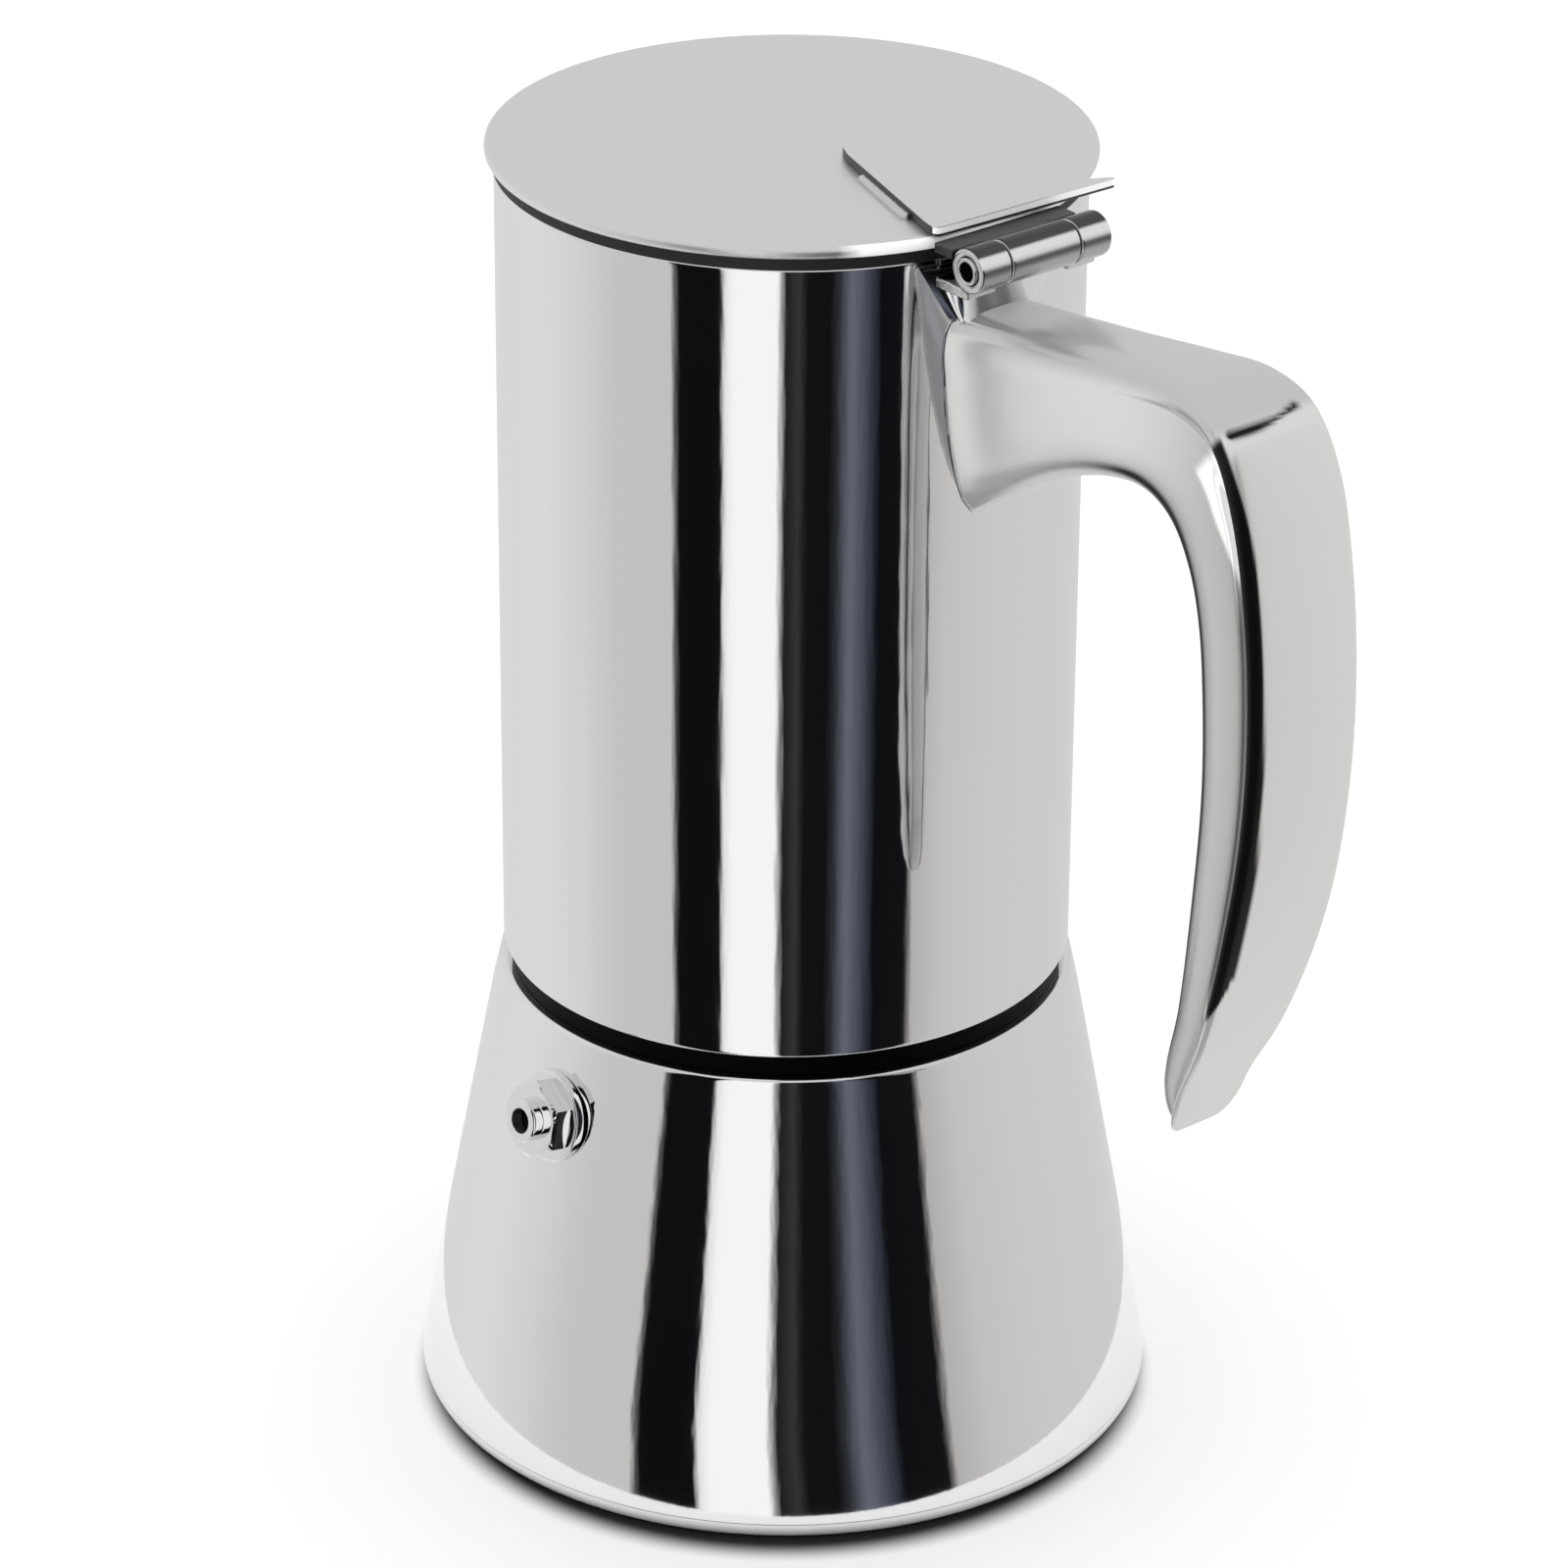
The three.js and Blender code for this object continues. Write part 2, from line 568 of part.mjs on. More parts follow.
function collectorShell() {
  const heights = [0, 0.25, 0.5, 0.75, 1].map((t) => MOUTH_Z - SPOUT_DEPTH * (1 - t));
  const ringR = RING_MINOR_R + THREAD_DEPTH + 1 + GAP;
  const profile = [
    [ringR, COLLECTOR_Z],
    ...arc(COLLECTOR_R - 0.6, COLLECTOR_Z + 0.6, 0.6, -Math.PI / 2, 0, 2),
    ...heights.map((z) => [COLLECTOR_R, z]),
    ...heights.toReversed().map((z) => [COLLECTOR_BORE_R, z]),
    [COLLECTOR_BORE_R, COLLECTOR_Z + WALL],
    [ringR, COLLECTOR_Z + WALL],
  ];
  return shapedRevolve(profile, (angle, r, z) => spoutOffset(angle, z));
}

// Internal thread and gasket seat in one ring, brazed into the foot of the collector.
function threadRing() {
  const outer = RING_MINOR_R + THREAD_DEPTH + 1;
  const wide = COLLECTOR_BORE_R - GAP;
  const low = COLLECTOR_Z + 1.4;
  const [threadLow, threadHigh] = [low + 0.6, GASKET_Z - 0.4];
  const profile = [
    [RING_MINOR_R + THREAD_DEPTH, low],
    [outer, low],
    [outer, SEAT_Z - 1],
    [wide, SEAT_Z - 1],
    [wide, SEAT_Z + WALL],
    [GASKET_BORE_R + 1, SEAT_Z + WALL],
    [GASKET_BORE_R + 1, SEAT_Z],
    [RING_MINOR_R, SEAT_Z],
    ...threadHeights(threadLow, threadHigh).toReversed().map((z) => [RING_MINOR_R + THREAD_DEPTH, z]),
  ];
  const offset = (angle, r, z) =>
    r === RING_MINOR_R + THREAD_DEPTH && z >= threadLow && z <= threadHigh
      ? -THREAD_DEPTH * (1 - ridge(angle, z - THREAD_PITCH / 2))
      : 0;
  return shapedRevolve(profile, offset);
}

// Floor of the coffee space, dished into the wall, with a hole for the column.
function collectorFloor() {
  const hole = COLUMN_BASE_R + GAP;
  const edge = COLLECTOR_BORE_R - GAP;
  return revolve([
    [hole, FLOOR_Z],
    [edge - 1.5, FLOOR_Z],
    [edge, FLOOR_Z + 1.5],
    [edge, FLOOR_Z + FLOOR_LIP],
    [edge - WALL, FLOOR_Z + FLOOR_LIP],
    [edge - WALL, FLOOR_Z + 2],
    [edge - 2, FLOOR_Z + WALL],
    [hole, FLOOR_Z + WALL],
  ]);
}

const COLUMN_TOP_Z = FLOOR_Z + COLUMN_HEIGHT;

function column() {
  const flangeHigh = FLOOR_Z - GAP;
  return revolve([
    [COLUMN_BORE_R + 3, flangeHigh - WALL],
    [COLUMN_BASE_R + 2, flangeHigh - WALL],
    [COLUMN_BASE_R + 2, flangeHigh],
    [COLUMN_BASE_R, flangeHigh],
    [COLUMN_BASE_R, FLOOR_Z + 2],
    [COLUMN_BASE_R - 2, FLOOR_Z + 10],
    [COLUMN_TOP_R, COLUMN_TOP_Z - CAP_LAP],
    [COLUMN_TOP_R, COLUMN_TOP_Z],
    [COLUMN_BORE_R, COLUMN_TOP_Z],
    [COLUMN_BORE_R, FLOOR_Z + 10],
    [COLUMN_BORE_R + 3, FLOOR_Z + 1],
  ], SMALL_SEGMENTS);
}

// Thimble pressed over the column's top, with two side outlets.
function columnCap() {
  const bore = COLUMN_TOP_R + GAP;
  const outer = bore + WALL;
  const low = COLUMN_TOP_Z - CAP_LAP;
  const high = low + COLUMN_CAP_HEIGHT;
  const dome = (r, top) => arc(0, top - r, r, 0, Math.PI / 2).map(([x, z]) => [x < 1e-6 ? 0 : x, z]);
  const cavity = dome(bore, high - WALL).toReversed();
  const shell = solid(revolve([...cavity, [bore, low], [outer, low], ...dome(outer, high)], SMALL_SEGMENTS));
  const portLow = COLUMN_TOP_Z - 0.2;
  const reach = 2 * outer;
  const ports = box([-PORT_WIDTH / 2, -reach, portLow], [PORT_WIDTH / 2, reach, portLow + PORT_HEIGHT]);
  return geometryOf(shell.subtract(solid(ports)));
}

// ---------------------------------------------------------------- handle

function sideLine(points) {
  const placed = points.map(([out, drop]) => new THREE.Vector2(COLLECTOR_R + GAP + out, MOUTH_Z - drop));
  return new THREE.SplineCurve(placed);
}

const backLine = sideLine(HANDLE_BACK);
const insideLine = sideLine(HANDLE_INSIDE);

// Section of the handle at u, 0 at the root and 1 at the tip, set in from its surface by inset.
function handleSection(u, inset = 0) {
  const back = backLine.getPoint(u);
  const inside = insideLine.getPoint(u);
  const depth = back.distanceTo(inside);
  const grip = THREE.MathUtils.smoothstep(u, 0.12, 0.45);
  const tip = 1 - 0.45 * THREE.MathUtils.smoothstep(u, 0.72, 1);
  const side = SECTION_PLACES.map((place, i) => {
    const half = THREE.MathUtils.lerp(ROOT_HALF_WIDTHS[i], GRIP_HALF_WIDTHS[i], grip) * tip;
    const along = inset / depth + place * (1 - (2 * inset) / depth);
    const point = inside.clone().lerp(back, along);
    return [point.x, Math.max(half - inset, 0.4), point.y];
  });
  return [...side.map(([x, y, z]) => [x, -y, z]), ...side.toReversed()];
}

// Moves a section's points along X until they lie on the collector's wall.
function ontoWall(section, radius) {
  return section.map(([, y, z]) => [Math.sqrt(radius ** 2 - y ** 2), y, z]);
}

// Hollow handle, open where it is welded to the wall.
function handle() {
  const stations = Array.from({ length: HANDLE_STATIONS }, (_, i) => i / (HANDLE_STATIONS - 1));
  const outside = stations.map((u) => handleSection(u));
  outside[0] = ontoWall(outside[0], COLLECTOR_R + GAP);
  const inside = stations.filter((u) => u < 0.9).map((u) => handleSection(u, HANDLE_WALL));
  inside[0] = ontoWall(inside[0], COLLECTOR_R + GAP - 0.5);
  const body = solid(skin(outside));
  return geometryOf(body.subtract(solid(skin(inside))));
}

// ---------------------------------------------------------------- hinge

function alongY(geometry, x, z) {
  return geometry.rotateX(Math.PI / 2).translate(x, 0, z);
}

function barrel(radius, bore, halfLength, centre = 0) {
  return alongY(tube(radius, bore, -halfLength - centre, halfLength - centre), HINGE_X, HINGE_Z);
}

// Sheet bracket: a shelf over the handle's root, wings down both its sides, and a knuckle at each end.
function hingeBracket() {
  const high = HINGE_Z - HINGE_R + LEG_BITE;
  const wingLow = high - 11;
  const front = COLLECTOR_R + 4.6;
  const outline = [
    [-BRACKET_HALF_WIDTH, high], [-7.9, wingLow], [-7.6, wingLow], [-7.6, high - BRACKET_THICKNESS - 1.6],
    [-6, high - BRACKET_THICKNESS], [6, high - BRACKET_THICKNESS], [7.6, high - BRACKET_THICKNESS - 1.6],
    [7.6, wingLow], [7.9, wingLow], [BRACKET_HALF_WIDTH, high],
  ];
  const sheet = plate(outline, front).rotateX(Math.PI / 2).rotateZ(Math.PI / 2);
  const wall = new THREE.CylinderGeometry(COLLECTOR_R + GAP, COLLECTOR_R + GAP, 80, 2 * SEGMENTS);
  const root = skin([0, 0.04, 0.1].map((u) => handleSection(u, -GAP)));
  let made = solid(sheet)
    .subtract(solid(wall.rotateX(Math.PI / 2).translate(0, 0, high)))
    .subtract(solid(root));
  const half = (HINGE_HALF_LENGTH - KNUCKLE_HALF_LENGTH - GAP) / 2;
  const centre = HINGE_HALF_LENGTH - half;
  for (const side of [-1, 1]) {
    const leg = box(
      [COLLECTOR_R + 2.4, side * centre - half, high - 1.6],
      [HINGE_X, side * centre + half, high],
    );
    made = made.add(solid(leg)).add(solid(barrel(HINGE_R, 0, half, side * centre)));
  }
  const bore = new THREE.CylinderGeometry(PIN_R + RUN, PIN_R + RUN, 4 * HINGE_HALF_LENGTH, SMALL_SEGMENTS);
  const swing = new THREE.CylinderGeometry(
    HINGE_R + GAP, HINGE_R + GAP, 2 * (KNUCKLE_HALF_LENGTH + GAP), SMALL_SEGMENTS,
  );
  return geometryOf(
    made
      .subtract(solid(bore.translate(HINGE_X, 0, HINGE_Z)))
      .subtract(solid(swing.translate(HINGE_X, 0, HINGE_Z))),
  );
}

// Lid knuckle with the leaf that is welded under the thumb plate, beside the lid's rim.
function lidKnuckle() {
  const leaf = box(
    [LID_R + GAP, -KNUCKLE_HALF_LENGTH, LID_TOP_Z - LEAF_THICKNESS],
    [HINGE_X, KNUCKLE_HALF_LENGTH, LID_TOP_Z],
  );
  const bore = new THREE.CylinderGeometry(PIN_R + RUN, PIN_R + RUN, 4 * HINGE_HALF_LENGTH, SMALL_SEGMENTS);
  return geometryOf(
    solid(barrel(HINGE_R, 0, KNUCKLE_HALF_LENGTH))
      .add(solid(leaf))
      .subtract(solid(bore.translate(HINGE_X, 0, HINGE_Z))),
  );
}

// ---------------------------------------------------------------- lid

function lidDisc() {
  const r = LID_R - LID_THICKNESS / 2;
  const edge = arc(r, LID_Z + LID_THICKNESS / 2, LID_THICKNESS / 2, -Math.PI / 2, Math.PI / 2, 4);
  const recess = COLLECTOR_R - 3;
  const under = LID_TOP_Z - WALL;
  return revolve([[0, under], [recess - 0.6, under], [recess, LID_Z], ...edge, [0, LID_TOP_Z]]);
}

function lidSeal() {
  const outer = COLLECTOR_R + 0.2;
  return tube(outer, outer - SEAL_WIDTH, MOUTH_Z + GAP / 2, LID_Z - GAP / 2, SEGMENTS);
}

function thumbPlate() {
  return plate(PLATE_PLAN.map(([x, y]) => [LID_R + x, y]), PLATE_THICKNESS).translate(0, 0, LID_TOP_Z + GAP);
}

// ---------------------------------------------------------------- assembly

add("boiler_shell", boilerShell(), polishedSteel);
add("base_cap", baseCap(), polishedSteel);
add("heat_disc", heatDisc(), castAluminium);
add("neck_ring", neckRing(), plainSteel);
add("valve_body", valveBody(), polishedSteel, valve);
add("valve_plug", valvePlug(), polishedSteel, valve);
add("valve_washer", valveWasher(), whiteSilicone, valve);
add("valve_nut", valveNut(), plainSteel, valve);
add("valve_spring", valveSpring(), plainSteel, valve);
add("valve_ball", new THREE.SphereGeometry(BALL_R, 14, 10).translate(0, 0, BALL_Z), plainSteel, valve);
add("funnel", funnelShell(), plainSteel);
add("funnel_plate", funnelPlate(), plainSteel);
add("gasket", gasket(), whiteSilicone);
add("filter_plate", filterPlate(), plainSteel);
add("collector_shell", collectorShell(), polishedSteel);
add("collector_floor", collectorFloor(), plainSteel);
add("thread_ring", threadRing(), plainSteel);
add("column", column(), plainSteel);
add("column_cap", columnCap(), plainSteel);
add("handle", handle(), polishedSteel);
add("hinge_bracket", hingeBracket(), polishedSteel);
add("hinge_pin", barrel(PIN_R, PIN_BORE_R, HINGE_HALF_LENGTH + 0.4), plainSteel);
add("lid_disc", lidDisc(), satinSteel);
add("lid_seal", lidSeal(), blackSilicone);
add("thumb_plate", thumbPlate(), satinSteel);
add("lid_knuckle", lidKnuckle(), polishedSteel);

// The shell's hole for the valve is cut last, with the valve's own placing.
part.updateMatrixWorld(true);
const shellMesh = part.getObjectByName("boiler_shell");
const valveHole = new THREE.CylinderGeometry(VALVE_SHANK_R + GAP, VALVE_SHANK_R + GAP, 12, SMALL_SEGMENTS);
valveHole.rotateX(Math.PI / 2).applyMatrix4(valve.matrixWorld);
shellMesh.geometry = geometryOf(solid(shellMesh.geometry).subtract(solid(valveHole)));

export default part;
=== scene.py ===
# %% [markdown]
# # A stainless-steel moka pot
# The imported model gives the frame: bodies that move and plain solids in their real places. This script
# makes the fine surface of every piece around it. Nearly every piece of a moka pot is drawn, spun or
# turned, so most of them are profiles carried round the pot's axis; the handle is a section carried along
# a curve.

# %% Load the frame
import math

import bmesh
import bpy
import numpy as np
from mathutils import Matrix, Vector


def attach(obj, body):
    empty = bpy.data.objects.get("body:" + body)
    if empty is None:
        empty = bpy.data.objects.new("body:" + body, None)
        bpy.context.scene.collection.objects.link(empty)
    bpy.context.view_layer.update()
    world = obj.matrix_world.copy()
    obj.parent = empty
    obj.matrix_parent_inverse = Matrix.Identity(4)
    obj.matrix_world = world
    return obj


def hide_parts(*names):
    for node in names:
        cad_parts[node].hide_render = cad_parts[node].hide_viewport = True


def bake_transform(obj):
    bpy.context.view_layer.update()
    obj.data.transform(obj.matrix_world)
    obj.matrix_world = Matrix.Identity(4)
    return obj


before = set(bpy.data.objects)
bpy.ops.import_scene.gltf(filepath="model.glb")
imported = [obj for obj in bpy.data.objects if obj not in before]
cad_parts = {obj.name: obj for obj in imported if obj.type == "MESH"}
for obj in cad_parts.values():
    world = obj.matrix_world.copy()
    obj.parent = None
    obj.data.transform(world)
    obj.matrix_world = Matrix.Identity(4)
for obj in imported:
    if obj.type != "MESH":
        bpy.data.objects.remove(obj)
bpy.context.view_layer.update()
MM = 0.001

# %% [markdown]
# ## Sizes
# The pieces fit each other through these values, in millimetres. They repeat the frame's own sizes.

# %% Sizes
WALL = 0.8
COLLECTOR_R, COLLECTOR_Z, MOUTH_Z = 38, 65.9, 175.4
BASE_R, SHOULDER_R, SHOULDER_Z, CAP_Z = 50, 38.6, 63, 2.4
CONE_SLOPE = (BASE_R - SHOULDER_R) / (SHOULDER_Z - CAP_Z)
FLOOR_Z = 79.45
LID_R, LID_Z, LID_TOP_Z = 39.2, 177.0, 178.9
HINGE_X, HINGE_Z, HINGE_R = 46, 177.0, 2.9
PITCH, THREAD_DEPTH, THREAD_ROOT_R, RING_MINOR_R = 3, 1, 33, 34.3


def cone(z):
    """The boiler's outer radius at a height: a straight line from the base to the shoulder."""
    return BASE_R - (z - CAP_Z) * CONE_SLOPE


print("cone's radius at the foot and the shoulder:", cone(CAP_Z), round(cone(SHOULDER_Z), 3))

# %% [markdown]
# ## Helpers for surfaces
# A surface is a grid of points: one index runs round or along the piece and the other across its section.
# The grid is worked out as one array, so a finer piece costs no more code. Quads join neighbours, and
# points that fall together, as at a pole on the axis, are merged afterwards.

# %% Skin a grid
def grid_quads(rows, columns, around=True, loop=True):
    """Corner numbers of the quads between neighbours of a grid; around and loop close its two indices."""
    row, column = np.meshgrid(np.arange(rows - (not around)), np.arange(columns - (not loop)), indexing="ij")
    after, beside = (row + 1) % rows, (column + 1) % columns
    corners = [(row, column), (after, column), (after, beside), (row, beside)]
    return np.stack([r * columns + c for r, c in corners], axis=-1)


def skin(name, grid, material, body, node=None, around=True, loop=True, caps=False, sharp=38):
    """Joins grid[i, j] to its neighbours by quads; caps closes the first and the last row by one face each."""
    rows, columns = grid.shape[:2]
    quads = grid_quads(rows, columns, around, loop).reshape(-1, 4)
    points = grid.reshape(-1, 3)
    faces = quads.tolist()
    if caps:
        faces += [list(range(columns))[::-1], [(rows - 1) * columns + c for c in range(columns)]]
    mesh = bpy.data.meshes.new(name)
    mesh.from_pydata(points.tolist(), [], faces)
    return finish_piece(name, mesh, material, body, node, sharp)


def finish_piece(name, mesh, material, body, node=None, sharp=38):
    """Merges doubles, turns faces outwards, shades smooth, and hands the piece to its body and CAD node."""
    work = bmesh.new()
    work.from_mesh(mesh)
    bmesh.ops.remove_doubles(work, verts=work.verts, dist=1e-7)
    bmesh.ops.recalc_face_normals(work, faces=work.faces)
    work.to_mesh(mesh)
    work.free()
    mesh.polygons.foreach_set("use_smooth", np.ones(len(mesh.polygons), bool))
    mesh.set_sharp_from_angle(angle=math.radians(sharp))
    mesh.materials.append(material)
    piece = bpy.data.objects.new(name, mesh)
    bpy.context.scene.collection.objects.link(piece)
    if body is not None:
        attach(piece, body)
    if node is not None:
        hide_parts(node)
    return piece


def tell(*pieces):
    """Prints each piece's name and the number of its faces."""
    print("made", ", ".join(f"{piece.name} ({len(piece.data.polygons)} faces)" for piece in pieces))


print("a tube of 6 by 4 points has", grid_quads(6, 4).size // 4, "quads")


# %% Round the corners of a profile
def rounded(profile, radius=0.15, steps=3, hold=0.25):
    """Replaces each corner of a closed profile by a short quadratic curve, as a deburred edge has.

    A holding point on either side of the curve keeps the smooth shading of a long wall straight to its edge.
    """
    points = [np.array(p, float) for p in profile]
    out = []
    for i, corner in enumerate(points):
        before, after = points[i - 1], points[(i + 1) % len(points)]
        if corner[0] == 0:
            out.append(corner)
            continue
        spans = [max(np.linalg.norm(side - corner), 1e-9) for side in (before, after)]
        start = corner + (before - corner) * min(0.45, radius / spans[0])
        end = corner + (after - corner) * min(0.45, radius / spans[1])
        if spans[0] > 3 * (radius + hold):
            out.append(corner + (before - corner) * (radius + hold) / spans[0])
        for t in np.linspace(0, 1, steps + 1):
            out.append((1 - t) ** 2 * start + 2 * t * (1 - t) * corner + t * t * end)
        if spans[1] > 3 * (radius + hold):
            out.append(corner + (after - corner) * (radius + hold) / spans[1])
    return np.array(out)


print("a rounded square of 1 mm has", len(rounded([[1, 0], [2, 0], [2, 1], [1, 1]])), "points")


# %% Revolve a profile
def revolved(name, profile, material, body, node=None, offset=None, segments=192, radius=0.15, matrix=None,
             sharp=38, steps=3):
    """Carries a closed [r, z] profile round Z: x = r cos(angle), y = r sin(angle).

    The profile is in millimetres, and offset(angle, r, z) is added to r.
    """
    section = rounded(profile, radius, steps)
    angle = np.arange(segments) * 2 * np.pi / segments
    r = np.broadcast_to(section[:, 0], (segments, len(section))).copy()
    z = np.broadcast_to(section[:, 1], r.shape)
    if offset is not None:
        r += offset(angle[:, None], r, z)
    grid = np.stack([r * np.cos(angle)[:, None], r * np.sin(angle)[:, None], z], axis=-1) * MM
    if matrix is not None:
        grid = grid @ matrix[:3, :3].T + matrix[:3, 3]
    on_axis = profile[0][0] == 0 and profile[-1][0] == 0
    return skin(name, grid, material, body, node, loop=not on_axis, sharp=sharp)


def arc(r, z, radius, start, end, steps=8):
    """Points of an arc in the profile's plane, angles in degrees from the outward direction."""
    turn = np.radians(np.linspace(start, end, steps + 1))
    return [[r + radius * math.cos(t), z + radius * math.sin(t)] for t in turn]


def through(points, count, closed=False):
    """A Catmull-Rom curve: each stretch between two points is a cubic set by them and their neighbours."""
    p = np.array(points, float)
    n = len(p)
    if closed:
        t = np.arange(count) * n / count
        pick = lambda k: p[k % n]
    else:
        t = np.linspace(0, n - 1, count)
        pick = lambda k: p[np.clip(k, 0, n - 1)]
    k = np.minimum(t.astype(int), n - 1 if closed else n - 2)
    s = (t - k)[:, None]
    a, b, c, d = pick(k - 1), pick(k), pick(k + 1), pick(k + 2)
    return 0.5 * (2 * b + (c - a) * s + (2 * a - 5 * b + 4 * c - d) * s**2 + (3 * b - a - 3 * c + d) * s**3)


def smoothstep(x, low, high):
    """0 below low, 1 above high, and an even S between them."""
    t = np.clip((x - low) / (high - low), 0, 1)
    return t * t * (3 - 2 * t)


print("halfway up the S:", smoothstep(0.5, 0, 1))


# %% [markdown]
# ## Shader maths
# A material is easier to read as a formula than as a list of nodes and links. The class below wraps one
# socket, so that `grain * 0.5 + 1` adds the Math nodes it stands for.

# %% The socket class
class Value:
    """One output socket of a node tree, which + - * and math() continue."""

    def __init__(self, tree, socket):
        self.tree, self.socket = tree, socket

    def node(self, kind, settings=None, **inputs):
        """Adds a node of a kind, sets its options first, then links or sets its inputs: i0 is the first."""
        made = self.tree.nodes.new(kind)
        for key, value in (settings or {}).items():
            setattr(made, key, value)
        for key, value in inputs.items():
            slot = made.inputs[int(key[1:]) if key[0] == "i" and key[1:].isdigit() else key.replace("_", " ")]
            if isinstance(value, Value):
                self.tree.links.new(value.socket, slot)
            else:
                slot.default_value = value
        return made

    def math(self, operation, *others):
        """One Math node on this value and the others."""
        inputs = {f"i{index}": value for index, value in enumerate((self, *others))}
        return Value(self.tree, self.node("ShaderNodeMath", {"operation": operation}, **inputs).outputs[0])

    def __add__(self, other):
        return self.math("ADD", other)

    __radd__ = __add__

    def __mul__(self, other):
        return self.math("MULTIPLY", other)

    __rmul__ = __mul__

    def __sub__(self, other):
        return self.math("SUBTRACT", other)

    def __rsub__(self, other):
        return (self * -1.0).math("ADD", other)


def finish(name, slot, color, roughness, metallic=1.0):
    """A Principled material that knows its slot; returns it, its shader and its object coordinates."""
    material = bpy.data.materials.new(name)
    material.use_nodes = True
    material["slot"] = slot
    tree = material.node_tree
    shader = tree.nodes["Principled BSDF"]
    shader.inputs["Base Color"].default_value = (*color, 1)
    shader.inputs["Roughness"].default_value = roughness
    shader.inputs["Metallic"].default_value = metallic
    place = Value(tree, tree.nodes.new("ShaderNodeTexCoord").outputs["Object"])
    return material, shader, place


def mixed(share, first, second):
    """A colour between two, each a triple or a Value; share is 0 at the first and 1 at the second."""
    made = share.node("ShaderNodeMix", {"data_type": "RGBA"})
    share.tree.links.new(share.socket, made.inputs[0])
    for slot, color in ((made.inputs[6], first), (made.inputs[7], second)):
        if isinstance(color, Value):
            share.tree.links.new(color.socket, slot)
        else:
            slot.default_value = (*color, 1)
    return Value(share.tree, made.outputs[2])


def attribute(place, name):
    """A number stored on the mesh's points, 0 to 1."""
    made = place.node("ShaderNodeAttribute", {"attribute_name": name, "attribute_type": "GEOMETRY"})
    return Value(place.tree, made.outputs["Fac"])


def noise(place, scale, stretch=(1, 1, 1), detail=2.0):
    """Noise of a scale per metre, drawn out along an axis where stretch is below 1."""
    mapped = place.node("ShaderNodeMapping", Vector=place, Scale=tuple(stretch))
    vector = Value(place.tree, mapped.outputs[0])
    made = place.node("ShaderNodeTexNoise", Vector=vector, Scale=scale, Detail=detail, Roughness=0.5)
    return Value(place.tree, made.outputs["Fac"])


def axes(place):
    """The three numbers of a place."""
    split = place.node("ShaderNodeSeparateXYZ", Vector=place)
    return [Value(place.tree, split.outputs[axis]) for axis in "XYZ"]


def turn_of(y, x):
    """The angle of a point as a fraction of a turn, 0.5 towards the first axis."""
    return y.math("ARCTAN2", x) * (1 / (2 * math.pi)) + 0.5


def ramp(share, stops):
    """A colour that follows stops of (degrees, colour) as share goes from 0 at -180 degrees to 1 at 180."""
    made = share.node("ShaderNodeValToRGB", Fac=share)
    elements = made.color_ramp.elements
    for index, (angle, color) in enumerate(stops):
        stop = elements[index] if index < 2 else elements.new(1.0)
        stop.position = (angle + 180) / 360
        stop.color = (*color, 1)
    return Value(share.tree, made.outputs[0])


def bump(shader, height, strength, distance):
    """Feeds a height into the shader's normal."""
    made = height.node("ShaderNodeBump", Height=height, Strength=strength, Distance=distance)
    height.tree.links.new(made.outputs[0], shader.inputs["Normal"])


def link(value, shader, name):
    """Feeds a value into one of the shader's sockets."""
    value.tree.links.new(value.socket, shader.inputs[name])


def grained(name, slot, color, least, spread, scale, relief, depth, metallic=1.0, stretch=(1, 1, 1), detail=2):
    """An even finish: one noise lifts the roughness from its least by a spread, and raises a fine relief."""
    material, shader, place = finish(name, slot, color, least + spread / 2, metallic)
    grain = noise(place, scale, stretch, detail)
    link(grain * spread + least, shader, "Roughness")
    bump(shader, grain, relief, depth)
    return material


print("shader helpers ready")


# %% [markdown]
# ## Finishes
# Nearly all of the pot is the same stainless steel, and what tells the pieces apart is how each was
# finished: mirror polish on the walls, blasted sheet on the lid, tumbled parts at the hinge, plain drawn
# steel inside. One grey material would be quicker and would look like plastic. So each finish is a
# colour, a least roughness and a fine grain that moves the roughness and the relief. The colours are
# linear, so 0.6 looks a light grey.

# %% Colours
LID_GREY = (0.85, 0.85, 0.85)
# Painted shade on the plate's edges and on the leaf below them.
PAINTED_EDGE_SHADE = (0.10, 0.10, 0.10)
HANDLE_GREY = (1, 0.997, 0.99)
# Painted shade in the handle's undercuts and crease, and on the collar in the gap under the upper pot.
PAINTED_SHADE_BLACK = (0.006, 0.006, 0.007)
BARREL_GREY = (0.74, 0.735, 0.73)
COLLAR_GREY = (0.7, 0.7, 0.705)
# Painted highlight on the lid's rim and on the plate's edge over the hinge.
PAINTED_RIM_HIGHLIGHT = (0.97, 0.97, 0.97)
print("lid", LID_GREY, "handle", HANDLE_GREY, "painted_shades", PAINTED_SHADE_BLACK)

# %% Mirror-polished steel
def polished_steel():
    """Mirror polish: almost smooth, with the faint haze and waviness that buffing leaves."""
    material, shader, place = finish("polished_steel", "polished_steel", (0.86, 0.86, 0.865), 0.045)
    haze = noise(place, 60, detail=3)
    link(haze * 0.05 + 0.02, shader, "Roughness")
    wave = noise(place, 900, stretch=(1, 1, 0.12), detail=1)
    bump(shader, wave, 0.02, 0.0004)
    return material


POLISHED = polished_steel()
print("mirror finish:", POLISHED.name)

# %% Satin steel
# Where the lid rim's painted highlight lies, and where the plate's painted shade and painted highlight lie.
RIM_TOP, RIM_MIDDLE, RIM_HALF, RIM_FADE = 0.17875, -0.1, 0.37, 12
PLATE_EDGE_TOP, PLATE_EDGE_LOW, PLATE_TAIL_X = 0.1801, 0.1793, 0.038


